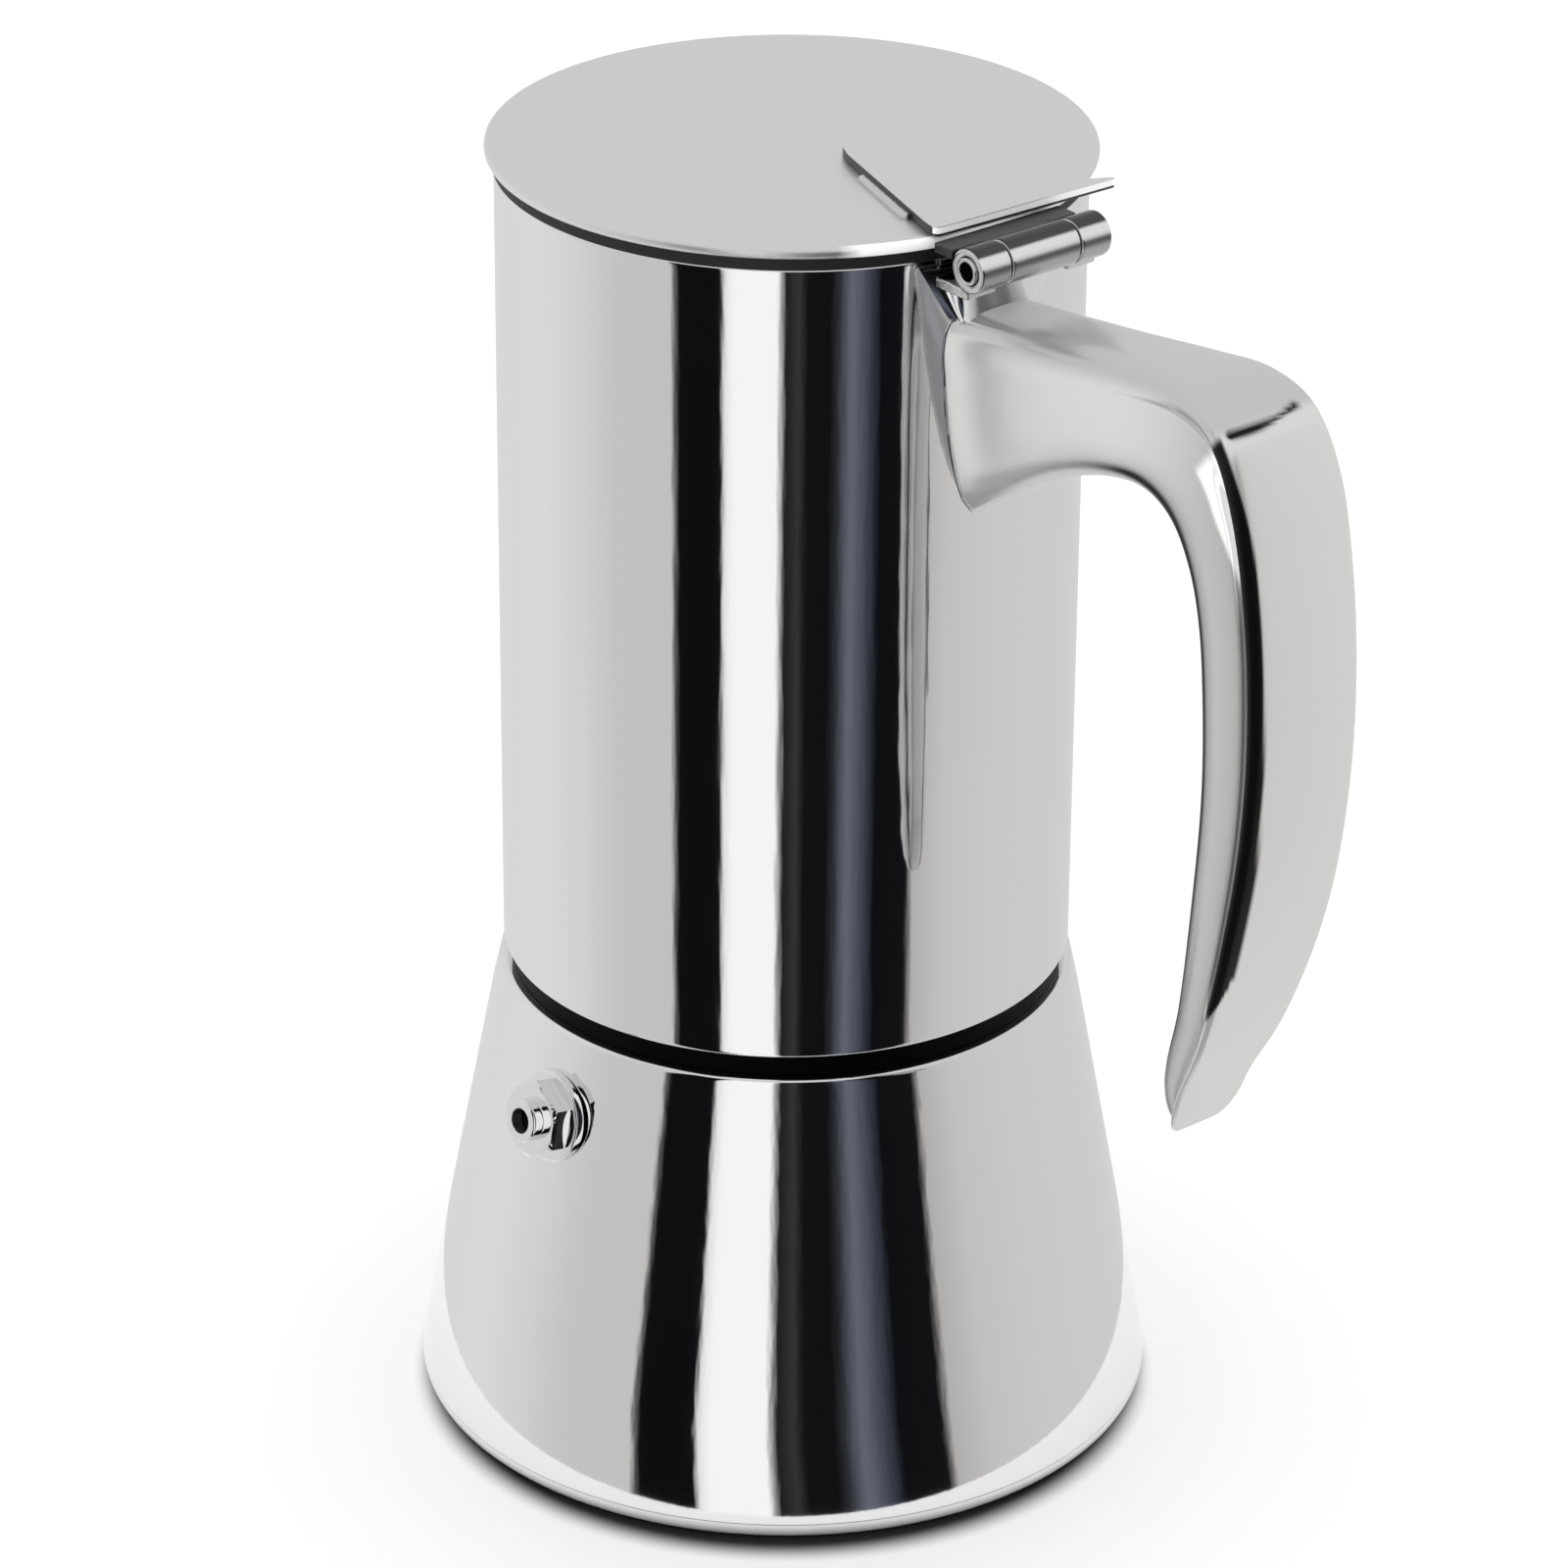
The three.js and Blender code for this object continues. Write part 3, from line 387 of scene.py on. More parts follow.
def satin_steel(name="satin_steel", painted_edge_light=False):
    """Finely blasted sheet: even, pale and soft. On the plate, painted shade darkens the edge below its top
    face.

    The lid's rim gets a painted highlight, white and not metallic, over an arc beside the handle: 1 - (distance
    in angle - half) * fade, cut to 0 and 1. The plate's edge over the hinge gets the same painted highlight.
    """
    material, shader, place = finish(name, "satin_steel", LID_GREY, 0.38)
    grain = noise(place, 2600, stretch=(0.35, 1, 1), detail=2)
    cloud = noise(place, 45, detail=3)
    link(grain * 0.12 + cloud * 0.06 + 0.3, shader, "Roughness")
    bump(shader, grain, 0.10, 0.0002)
    x, y, z = axes(place)
    if painted_edge_light:
        # Painted highlight on the plate's edge over the hinge; painted shade on its other edges and everything
        # below them.
        edge = z.math("LESS_THAN", PLATE_EDGE_TOP)
        white = edge * x.math("GREATER_THAN", PLATE_TAIL_X) * z.math("GREATER_THAN", PLATE_EDGE_LOW)
        grey = mixed(edge, LID_GREY, PAINTED_EDGE_SHADE)
    else:
        # Painted highlight on the lid's rim, over an arc beside the handle.
        beside = 1 - ((y.math("ARCTAN2", x) - RIM_MIDDLE).math("ABSOLUTE") - RIM_HALF) * RIM_FADE
        white = z.math("LESS_THAN", RIM_TOP) * beside.math("MAXIMUM", 0.0).math("MINIMUM", 1.0)
        grey = LID_GREY
    # Where a painted highlight lies, the steel turns white and loses its metal.
    link(1 - white, shader, "Metallic")
    link(mixed(white, grey, PAINTED_RIM_HIGHLIGHT), shader, "Base Color")
    return material


SATIN, PLATE = satin_steel(), satin_steel("plate_steel", painted_edge_light=True)
print("satin finishes:", SATIN.name, PLATE.name)

# %% [markdown]
# The handle is a polished pressing. Painted shade lies black in its undercuts, crease and finger side, painted
# shading makes its sides and top soft greys, and a painted highlight glows where a bright taper begins. A
# picture could hold those marks, but the points of the handle already know where they lie, so each point stores
# its share of painted shade, its painted shading and its painted glow, and the material reads these attributes.

# %% Handle, collar and hinge steel
def handle_steel():
    """Polished by hand over a pressing: soft reflections, with painted shade, shading and highlights from the
    mesh.
    """
    material, shader, place = finish("handle_steel", "polished_steel", HANDLE_GREY, 0.3, metallic=0.6)
    haze = noise(place, 50, detail=3)
    painted_shade = attribute(place, "painted_shade")
    link(haze * 0.06 + painted_shade * 0.25 + 0.2, shader, "Roughness")
    # Painted shading and painted shade darken the base colour; the painted highlights glow as emission.
    link(mixed(attribute(place, "painted_shading"), (0, 0, 0), HANDLE_GREY), shader, "Base Color")
    link(mixed(attribute(place, "painted_glow"), (0, 0, 0), (1, 1, 1)), shader, "Emission Color")
    shader.inputs["Emission Strength"].default_value = 0.3
    wave = noise(place, 300, detail=1)
    bump(shader, wave, 0.02, 0.0003)
    return material


def collar_steel():
    """The neck: bright at the thread; the plain collar in the gap under the upper pot is black with painted
    shade.
    """
    material, shader, place = finish("collar_steel", "inner_steel", COLLAR_GREY, 0.3)
    # Painted shade: below the upper pot's foot the collar is black, as the gap there lies in shadow.
    painted_gap_shade = axes(place)[2].math("LESS_THAN", COLLECTOR_Z * MM)
    link(mixed(painted_gap_shade, COLLAR_GREY, PAINTED_SHADE_BLACK), shader, "Base Color")
    grain = noise(place, 1200, stretch=(0.1, 0.1, 1), detail=2)
    link(grain * 0.2 + painted_gap_shade * 0.3 + 0.2, shader, "Roughness")
    bump(shader, grain, 0.08, 0.0003)
    return material


# Painted reflections round a barrel: degrees from straight out of the handle's side, and the grey painted
# there.
BARREL_PAINTED_REFLECTION = [
    (-180, 0.5), (-63, 0.3), (-45, 0.55), (-10, 0.5), (4, 0.15), (11, 0.15), (21, 0.85), (30, 1.0), (44, 1.0),
    (52, 0.1), (117, 0.05), (140, 0.3), (180, 0.5),
]
SKIN_DEPTH = 0.00012


def hinge_steel():
    """Small turned parts, tumbled bright; round the barrels runs a painted reflection: dark top, bright line,
    dark line.
    """
    material, shader, place = finish("hinge_steel", "hinge_steel", BARREL_GREY, 0.16)
    grain = noise(place, 1500, stretch=(1, 0.08, 1), detail=3)
    link(grain * 0.22 + 0.06, shader, "Roughness")
    bump(shader, grain, 0.12, 0.0003)
    x, _, z = axes(place)
    x, z = x - HINGE_X * MM, z - HINGE_Z * MM
    on_barrel = (x * x + z * z).math("SQRT").math("COMPARE", HINGE_R * MM, SKIN_DEPTH)
    # The painted reflection lies on the barrels' outer skin only.
    greys = ramp(turn_of(z, x), [(angle, (grey, grey, grey)) for angle, grey in BARREL_PAINTED_REFLECTION])
    link(mixed(on_barrel, BARREL_GREY, greys), shader, "Base Color")
    return material


HANDLE, COLLAR, HINGE = handle_steel(), collar_steel(), hinge_steel()
print("drawn finishes:", HANDLE.name, COLLAR.name, HINGE.name)

# %% [markdown]
# The other finishes are even, so one function with a grain serves them all: the cap of the foot, whose pale,
# hardly metallic colour is partly a painted reflection of the white floor, the dull drawn steel inside with
# fine rings round the axis, oil-blackened spring wire, which also lines the vent hole as painted shade, cast
# aluminium and silicone, whose black on the lid's seal is painted shade.

# %% Even finishes
# The cap's pale colour and low metal paint the floor's reflection into the band round the foot.
CAP = grained("cap_steel", "polished_steel", (0.80, 0.80, 0.805), 0.25, 0.1, 900, 0.03, 0.0002, metallic=0.25)
INNER = grained("inner_steel", "inner_steel", (0.70, 0.70, 0.705), 0.14, 0.2, 1200, 0.08, 0.0003,
                stretch=(0.1, 0.1, 1))
SPRING = grained("spring_steel", "inner_steel", (0.03, 0.03, 0.032), 0.25, 0.2, 1500, 0.1, 0.0002)
ALUMINIUM = grained("cast_aluminium", "heat_aluminium", (0.66, 0.66, 0.67), 0.35, 0.25, 700, 0.3, 0.0005,
                    detail=4)
# The black of the lid's seal is painted shade for the gap under the lid's rim.
BLACK = grained("black_silicone", "black_silicone", (0.006, 0.006, 0.007), 0.45, 0.2, 1800, 0.15, 0.0002, 0.0)
WHITE = grained("white_silicone", "white_silicone", (0.80, 0.79, 0.75), 0.4, 0.2, 1800, 0.15, 0.0002, 0.0)
print("even finishes:", [material.name for material in (CAP, INNER, SPRING, ALUMINIUM, BLACK, WHITE)])

# %% [markdown]
# ## Camera
# A long lens from well above: the pot is seen from about 26 degrees up, with its handle to the right. A
# short lens close by would make the foot look much smaller than the lid.

# %% Place the camera
CAMERA_AZIMUTH = math.radians(50)
CAMERA_ELEVATION = math.radians(25.98)
CAMERA_DISTANCE = 0.8622
CAMERA_TARGET = np.array([0, 0, 0.08713])
CAMERA_ROLL = 0.0074
LENS = 148.4
SHIFT_X = -0.00195


def aim(azimuth, elevation, roll):
    """The camera's right, up and back directions for an azimuth, an elevation and a roll."""
    back = np.array([
        math.sin(azimuth) * math.cos(elevation), -math.cos(azimuth) * math.cos(elevation), math.sin(elevation)
    ])
    right = np.array([math.cos(azimuth), math.sin(azimuth), 0])
    up = np.cross(back, right)
    return math.cos(roll) * right + math.sin(roll) * up, math.cos(roll) * up - math.sin(roll) * right, back


def place_camera():
    """The camera stands back from its target along the view direction."""
    data = bpy.data.cameras.new("camera")
    data.lens, data.sensor_width, data.shift_x = LENS, 36, SHIFT_X
    data.clip_start, data.clip_end = 0.05, 50
    right, up, back = aim(CAMERA_AZIMUTH, CAMERA_ELEVATION, CAMERA_ROLL)
    matrix = np.eye(4)
    matrix[:3, 0], matrix[:3, 1], matrix[:3, 2] = right, up, back
    matrix[:3, 3] = CAMERA_TARGET + back * CAMERA_DISTANCE
    camera = bpy.data.objects.new("camera", data)
    camera.matrix_world = matrix.T.tolist()
    bpy.context.scene.collection.objects.link(camera)
    bpy.context.scene.camera = camera


place_camera()
STAGE_TURN = math.radians(50)  # the cards and the shadow stay here, wherever the camera goes
print("camera at", [round(value, 4) for value in bpy.context.scene.camera.matrix_world.translation])

# %% [markdown]
# ## Boiler
# The boiler is a deep-drawn cone with a safety valve in its wall. A sandwich bottom is pressed on below
# it: its rounded corner catches a little of the table's light, and its pale, hardly metallic colour paints
# the rest of the bright line round the foot as a painted reflection. A modelled cone could be cut by a
# boolean for the valve, which leaves long thin triangles that show in a mirror finish. Here the wall is a
# revolve with extra rings round the valve, and the hole is cut by leaving faces out and joining the two rims.

# %% Valve axis
VALVE_Z, VALVE_TURN, VALVE_TILT = 51.5, math.radians(-88.5), math.atan(CONE_SLOPE)


def valve_matrix():
    """Moves a point from the valve's own frame, Z out of the wall, to the pot's frame, in metres."""
    ca, sa = math.cos(VALVE_TURN), math.sin(VALVE_TURN)
    ct, st = math.cos(VALVE_TILT), math.sin(VALVE_TILT)
    matrix = np.eye(4)
    matrix[:3, 0], matrix[:3, 1], matrix[:3, 2] = (st * ca, st * sa, -ct), (-sa, ca, 0), (ca * ct, sa * ct, st)
    matrix[:3, 3] = np.array([cone(VALVE_Z) * ca, cone(VALVE_Z) * sa, VALVE_Z]) * MM
    return matrix


def bore_wall(piece, radius):
    """Cuts a round hole through both skins of a wall along the valve's axis.

    Faces near the axis go, the ragged rims are drawn in to the circle, and quads join the two rims.
    """
    into_valve = Matrix(np.linalg.inv(valve_matrix()).tolist())
    outward = Matrix(valve_matrix().tolist())
    work = bmesh.new()
    work.from_mesh(piece.data)
    near = []
    for face in work.faces:
        spot = into_valve @ face.calc_center_median()
        if spot.z > -0.01 and math.hypot(spot.x, spot.y) < radius * MM:
            near.append(face)
    bmesh.ops.delete(work, geom=near, context="FACES")
    rims = [edge for edge in work.edges if edge.is_boundary]
    for vert in {vert for edge in rims for vert in edge.verts}:
        spot = into_valve @ vert.co
        shrink = radius * MM / math.hypot(spot.x, spot.y)
        vert.co = outward @ Vector((spot.x * shrink, spot.y * shrink, spot.z))
    joined = bmesh.ops.bridge_loops(work, edges=rims)
    bmesh.ops.recalc_face_normals(work, faces=work.faces)
    work.to_mesh(piece.data)
    work.free()
    piece.data.set_sharp_from_angle(angle=math.radians(38))
    print("valve hole:", len(near), "faces cut,", len(joined["faces"]), "joined")


print("valve at", [round(value, 2) for value in valve_matrix()[:3, 3] / MM], "mm")


# %% Boiler shell and base cap
def boiler_shell():
    """A drawn cone; its wall has extra rings round the valve so that the valve's hole can be cut."""
    low, floor = CAP_Z + 0.05, 4.6
    shoulder = arc(SHOULDER_R - 0.9, SHOULDER_Z - 0.9, 0.9, 11, 90)
    outer_rings = [[cone(z), z] for z in np.arange(VALVE_Z - 6, VALVE_Z + 6.1, 0.6)]
    inner_rings = [[cone(z) - WALL, z] for z in np.arange(VALVE_Z + 6, VALVE_Z - 6.1, -0.6)]
    return revolved("boiler_shell", [
        [0, floor], [cone(floor) - WALL - 0.5, floor], [cone(low) - WALL, low], [cone(low), low],
        *outer_rings, *shoulder, [34.4, SHOULDER_Z], [34.4, SHOULDER_Z - WALL],
        [SHOULDER_R - WALL - 0.6, SHOULDER_Z - WALL],
        [SHOULDER_R - WALL, SHOULDER_Z - WALL - 0.8], *inner_rings, [cone(9) - WALL, 9],
        [cone(6) - WALL - 1.2, floor + WALL], [0, floor + WALL],
    ], POLISHED, "boiler", "boiler_shell", segments=360, radius=0.1, steps=2)


def base_cap():
    """A shallow pan round the foot, with a quarter circle at its corner."""
    fillet = 2
    corner = arc(BASE_R - fillet, fillet, fillet, -90, 0, 16)
    return revolved("base_cap", [
        [0, 0.35], [30, 0.35], [31, 0], *corner, [BASE_R, CAP_Z], [BASE_R - WALL, CAP_Z],
        [BASE_R - WALL, fillet], [BASE_R - fillet, WALL + 0.2], [0, WALL + 0.2],
    ], CAP, "boiler", "base_cap", segments=256, radius=0.05)


BORE_R = 3.4
shell = boiler_shell()
bore_wall(shell, BORE_R)
tell(shell, base_cap())

# %% [markdown]
# ## Threads
# The neck and the ring in the upper pot's foot carry a coarse turned thread. A ridge could be swept along
# a helix and joined to the neck, which leaves a seam. Instead the thread is a revolve whose radius
# depends on the angle as well: the ridge climbs one pitch in one turn, so its height is a triangle wave
# of `z / pitch - angle / turn`.

# %% Neck ring and thread ring
def ridge(angle, z):
    """0 at the thread's root and 1 at its crest, with the tip of the triangle cut flat."""
    turn = z / PITCH - angle / (2 * np.pi)
    return np.clip(1.35 * (1 - np.abs(2 * (turn % 1) - 1)) - 0.1, 0, 1)


def neck_ring():
    """A turned ring; its thread grows outwards from the root, and fades out at both ends."""
    low, high = 66.6, 72.1
    heights = [[THREAD_ROOT_R, z] for z in np.linspace(low - 0.3, high + 0.3, 49)]

    def offset(angle, r, z):
        fade = smoothstep(z, low - 0.3, low) * (1 - smoothstep(z, high, high + 0.3))
        return np.where(np.abs(r - THREAD_ROOT_R) < 1e-3, ridge(angle, z) * fade * THREAD_DEPTH, 0)

    return revolved("neck_ring", [
        [31.4, 61.4], [34.35, 61.4], [34.35, 62.9], [34.6, 63.05], [36.9, 63.05], [36.9, 65.6],
        [THREAD_ROOT_R, 65.65], *heights, [THREAD_ROOT_R - 0.4, 73], [31.4, 73],
    ], COLLAR, "boiler", "neck_ring", offset, radius=0.05)


def thread_ring():
    """A turned ring; its thread grows inwards from the major radius, half a pitch behind the neck's."""
    low, high, top = 67.9, 73.5, 77.55
    major = RING_MINOR_R + THREAD_DEPTH
    heights = [[major, z] for z in np.linspace(high, low, 49)]

    def offset(angle, r, z):
        return np.where(np.abs(r - major) < 1e-3, -THREAD_DEPTH * (1 - ridge(angle, z - PITCH / 2)), 0)

    return revolved("thread_ring", [
        [major, 67.3], [36.3, 67.3], [36.3, 76.5], [37.15, 76.5], [37.15, top + WALL], [28.8, top + WALL],
        [28.8, top], [RING_MINOR_R, top], *heights,
    ], INNER, "collector", "thread_ring", offset, radius=0.05)


tell(neck_ring(), thread_ring())

# %% [markdown]
# ## Upper pot
# The collector is a straight drawn tube with a rolled foot. Its pouring lip is pressed out of the wall.
# The lip could be pulled out by hand in a sculpting tool, but here the radius simply swells round one
# side, most at the mouth. The floor and the riser column are revolves too.

# %% Collector shell, floor, column
SPOUT_REACH, SPOUT_DEPTH, SPOUT_SPREAD = 5, 17, 0.3


def spout(angle, r, z):
    """Swelling of the radius: a bell round the pouring side times an S that rises to the mouth."""
    away = (angle - np.pi) / SPOUT_SPREAD
    return SPOUT_REACH * smoothstep(z, MOUTH_Z - SPOUT_DEPTH, MOUTH_Z) * np.exp(-away * away)


def collector_shell():
    """A tube whose rings stand closer where the lip swells."""
    lip = np.linspace(MOUTH_Z - SPOUT_DEPTH, MOUTH_Z - 0.3, 18)
    foot = arc(COLLECTOR_R - 0.7, COLLECTOR_Z + 0.7, 0.7, -90, 0)
    return revolved("collector_shell", [
        [36.6, COLLECTOR_Z], *foot, *[[COLLECTOR_R, z] for z in lip], [COLLECTOR_R - 0.1, MOUTH_Z],
        [COLLECTOR_R - WALL + 0.1, MOUTH_Z], *[[COLLECTOR_R - WALL, z] for z in lip[::-1]],
        [COLLECTOR_R - WALL, COLLECTOR_Z + WALL], [36.6, COLLECTOR_Z + WALL],
    ], POLISHED, "collector", "collector_shell", spout, segments=256, radius=0.12)


def collector_floor():
    """A dish with a turned-up rim: two quarter circles, one wall apart."""
    edge, thick = COLLECTOR_R - WALL - 0.02, WALL
    outer = arc(edge - 4, FLOOR_Z + 4, 4, -90, 0)
    inner = arc(edge - 4, FLOOR_Z + 4, 4 - thick, 0, -90)
    return revolved("collector_floor", [
        [8.05, FLOOR_Z], *outer, [edge, FLOOR_Z + 4.2], [edge - thick, FLOOR_Z + 4.2], *inner,
        [8.05, FLOOR_Z + thick],
    ], INNER, "collector", "collector_floor", radius=0.08)


def column():
    """A riser tube that narrows upwards from a wide flange."""
    top = FLOOR_Z + 67
    return revolved("column", [
        [6.4, 78.35], [10, 78.35], [10, 79.15], [8, 79.2], [8, FLOOR_Z + 2], [7.2, FLOOR_Z + 5],
        [6.2, FLOOR_Z + 10], [5.6, FLOOR_Z + 20], [5, top - 3], [5, top], [3.4, top],
        [3.4, FLOOR_Z + 10], [6.4, FLOOR_Z + 1],
    ], INNER, "collector", "column", segments=96, radius=0.4)


def column_cap():
    """A thimble, a tube closed by a dome. Faces whose middle lies in one of two windows are left out."""
    low, high, outer, inner = 143.4, 152.4, 6.1, 5.3
    port_low, port_high, half = 146.3, 149.6, 0.38
    segments, steps = 96, 60
    angle = np.arange(segments) * 2 * np.pi / segments
    height = np.linspace(0, 1, steps)

    def wall(r, top):
        rise = low + (top - low - r) * np.minimum(height / 0.6, 1)
        turn = np.clip((height - 0.6) / 0.4, 0, 1) * np.pi / 2
        radius = np.where(height <= 0.6, r, r * np.cos(turn))
        z = np.where(height <= 0.6, rise, top - r + r * np.sin(turn))
        return np.stack([
            radius[None] * np.cos(angle)[:, None], radius[None] * np.sin(angle)[:, None],
            np.broadcast_to(z, (segments, steps)),
        ], axis=-1) * MM

    mesh = bpy.data.meshes.new("column_cap")
    outside = wall(outer, high)
    quads = grid_quads(segments, steps, loop=False)
    middle = outside.reshape(-1, 3)[quads].mean(axis=2) / MM
    to_port = np.abs(np.abs((np.arctan2(middle[..., 1], middle[..., 0])) % np.pi - np.pi / 2))
    open_here = (to_port < half) & (middle[..., 2] > port_low) & (middle[..., 2] < port_high)
    mesh.from_pydata(outside.reshape(-1, 3).tolist(), [], quads[~open_here].tolist())
    piece = finish_piece("column_cap", mesh, INNER, "collector", "column_cap")
    thick = piece.modifiers.new("wall", "SOLIDIFY")
    thick.thickness, thick.offset = (outer - inner) * MM, -1
    return piece


tell(collector_shell(), collector_floor(), column(), column_cap())

# %% [markdown]
# ## Handle
# The handle is two pressed shells welded together and polished. Subdividing a box would give its sweep
# but not its crisp back. Its side view is two lines, the back and the finger side, and its section
# changes from a rounded box at the root to a T in the grip: a slim body for the fingers and a wider,
# gently crowned back. So the section is a closed curve through points that slide between those two lines.

# %% Handle lines and section
HANDLE_BACK = [
    [38.0, 168.2], [50, 169.4], [62, 170.7], [74, 171.9], [82.4, 172], [88.8, 168.8], [93.1, 160.5],
    [95.7, 149], [97, 137], [97, 124], [95.5, 110.5], [92.5, 97.5], [88.3, 85.6], [83.7, 76.6], [81.2, 68.8],
]
HANDLE_INSIDE = [
    [38.0, 139.8], [46, 145.0], [54, 149.8], [62, 152.9], [69.5, 153.9], [75.2, 151.8], [79, 147],
    [81.2, 140.2], [82.3, 131], [82.8, 120], [82.4, 109.5], [81.4, 98.5], [79.9, 88], [77.8, 79.4],
    [77.0, 71.0],
]
PLACES = [0, 0.04, 0.14, 0.32, 0.52, 0.68, 0.76, 0.82, 0.9, 0.97, 1]
ROOT_HALF = [1, 2.4, 4.1, 5.3, 6, 6.4, 6.6, 6.6, 6.2, 4.8, 2.6]
GRIP_HALF = [1.9, 3.7, 5.2, 6, 6.2, 6, 5.9, 7.4, 8.7, 8.4, 6]
CREASE, CREASE_SAG, CREASE_TILT, CREASE_WIDTH, CREASE_DEPTH = 0.349, 0.009, -0.0012, 0.005, 0.5
GROOVE_START, GROOVE_END, GROOVE_PLACE = 0.36, 0.85, 0.705


def bell(x, middle, width):
    """1 at the middle, falling smoothly to nothing a couple of widths away."""
    return np.exp(-(((x - middle) / width) ** 2))


def store(piece, name, values):
    """Keeps one number for each point of a piece's mesh, for its material to read."""
    layer = piece.data.attributes.new(name, "FLOAT", "POINT")
    layer.data.foreach_set("value", np.asarray(values, np.float32).ravel())


def handle_paint(run, place, width, crease):
    """Painted light over the handle: run is 0 to 1 along it, place 0 to 1 from finger side to back.

    Painted shading makes the sides and top soft greys. Painted shade lies black in the undercut beside the back
    plate, wider on the valve's side, with a painted highlight tapering where it begins. Painted shade also
    follows the finger side as a dark line, and blackens the crease.
    """
    # Painted shading: one grey for the sides and one for the top, as the light falls on them.
    side = 0.82 - 0.22 * smoothstep(run, 0.2, 0.42)
    top = 0.82 - 0.22 * smoothstep(run, 0.02, 0.12) + 0.17 * smoothstep(run, 0.345, 0.36)
    painted_shading = side + (top - side) * smoothstep(place, 0.78, 0.92)
    # A painted highlight tapers in where the undercut's painted shade begins.
    span = 0.14 * (1 - smoothstep(run, 0.4, 0.51))
    taper = smoothstep(place, GROOVE_PLACE - span - 0.02, GROOVE_PLACE - span + 0.02)
    taper = taper * (1 - smoothstep(place, 0.76, 0.82))
    white = taper * smoothstep(run, 0.345, 0.362) * (1 - smoothstep(run, 0.47, 0.5))
    painted_shading = painted_shading + (1 - painted_shading) * white
    # Painted shade along the undercut, wider on the valve's side.
    outer = -width / np.abs(width).max(axis=1, keepdims=True)
    edge = 0.95 - 0.12 * smoothstep(run, 0.36, 0.5) - 0.13 * smoothstep(run, 0.55, 0.78)
    edge = edge + 0.32 * smoothstep(run, 0.77, 0.835)
    valve_side = smoothstep(outer, edge - 0.02, edge + 0.02)
    other_side = (width > 0) * (1 - smoothstep(place, 0.93, 0.95))
    ends = smoothstep(run, 0.35, 0.362) * (1 - smoothstep(run, 0.815, 0.835))
    start = 0.83 - 0.07 * (1 - smoothstep(run, 0.36, 0.42))
    band = smoothstep(place, start, start + 0.04) * np.maximum(valve_side, other_side) * ends
    # Painted shade: a dark line beside the groove, and one along the finger side.
    line = 0.7 * bell(place, 0.655, 0.02) * smoothstep(run, 0.47, 0.52) * (1 - smoothstep(run, 0.8, 0.83))
    finger = (0.35 + 0.9 * smoothstep(run, 0.15, 0.3)) * bell(place, 0.14, 0.05) * smoothstep(run, 0.0, 0.05)
    painted_shade = np.clip(np.max([line, 1.4 * crease, finger, band], axis=0), 0, 1)
    return painted_shade, painted_shading * (1 - painted_shade) + PAINTED_SHADE_BLACK[0] * painted_shade, white * (1 - painted_shade)


def handle():
    """Lofts the section between the two lines: point = inside + place * (back - inside), width across.

    Returns the piece and the points of its root, in millimetres.
    """
    along, ring = 300, 200
    u = np.linspace(0, 1, along)
    back, inside = through(HANDLE_BACK, along), through(HANDLE_INSIDE, along)
    grip = smoothstep(u, 0.12, 0.45)[:, None]
    tip = (1 - 0.36 * smoothstep(u, 0.72, 1))[:, None]
    half = ((1 - grip) * np.array(ROOT_HALF) + grip * np.array(GRIP_HALF)) * tip
    places = np.array(PLACES)
    control = np.concatenate([np.stack([np.broadcast_to(places, half.shape), -half], -1),
                              np.stack([np.broadcast_to(places, half.shape), half], -1)[:, ::-1]], axis=1)
    section = through(control.transpose(1, 0, 2).reshape(22, -1), ring, closed=True)
    section = section.reshape(ring, along, 2).transpose(1, 0, 2)
    place, width = section[..., 0], section[..., 1]
    run = u[:, None]
    groove = bell(place, GROOVE_PLACE, 0.03) * smoothstep(run, GROOVE_START, GROOVE_START + 0.06)
    groove = groove * (1 - smoothstep(run, GROOVE_END - 0.08, GROOVE_END))
    crease_line = CREASE + CREASE_SAG * (1 - (width / 7.5) ** 2) + CREASE_TILT * width
    across = (1 - smoothstep(width, 4.4, 5.2)) * smoothstep(width, -7.6, -6.6)
    thick = CREASE_WIDTH * (1 - 0.55 * bell(width, 1.5, 2.5))
    crease = bell(run, crease_line, thick) * smoothstep(place, 0.88, 0.98) * across
    # The handle's painted light: its share of painted shade, its painted shading and its painted glow.
    painted_shade, painted_shading, painted_glow = handle_paint(run, place, width, crease)
    width = width - np.sign(width) * groove * 0.8
    place = place - CREASE_DEPTH * crease / np.linalg.norm(back - inside, axis=1)[:, None]
    closing = np.sqrt(np.clip(1 - 0.97 * np.clip((u - 0.94) / 0.06, 0, 1) ** 2, 0, 1))[:, None]
    place = 0.5 + (place - 0.5) * closing
    x = inside[:, :1] + place * (back - inside)[:, :1]
    z = inside[:, 1:] + place * (back - inside)[:, 1:]
    grid = np.stack([x, width * closing, z], axis=-1)
    grid[0, :, 0] = np.sqrt((COLLECTOR_R - 0.2) ** 2 - grid[0, :, 1] ** 2)
    piece = skin("handle", grid * MM, HANDLE, "collector", "handle", around=False, caps=True, sharp=50)
    for attribute_name, values in (("painted_shade", painted_shade), ("painted_shading", painted_shading), ("painted_glow", painted_glow)):
        store(piece, attribute_name, values)
    return piece, grid[0]


handle_piece, root = handle()
tell(handle_piece)


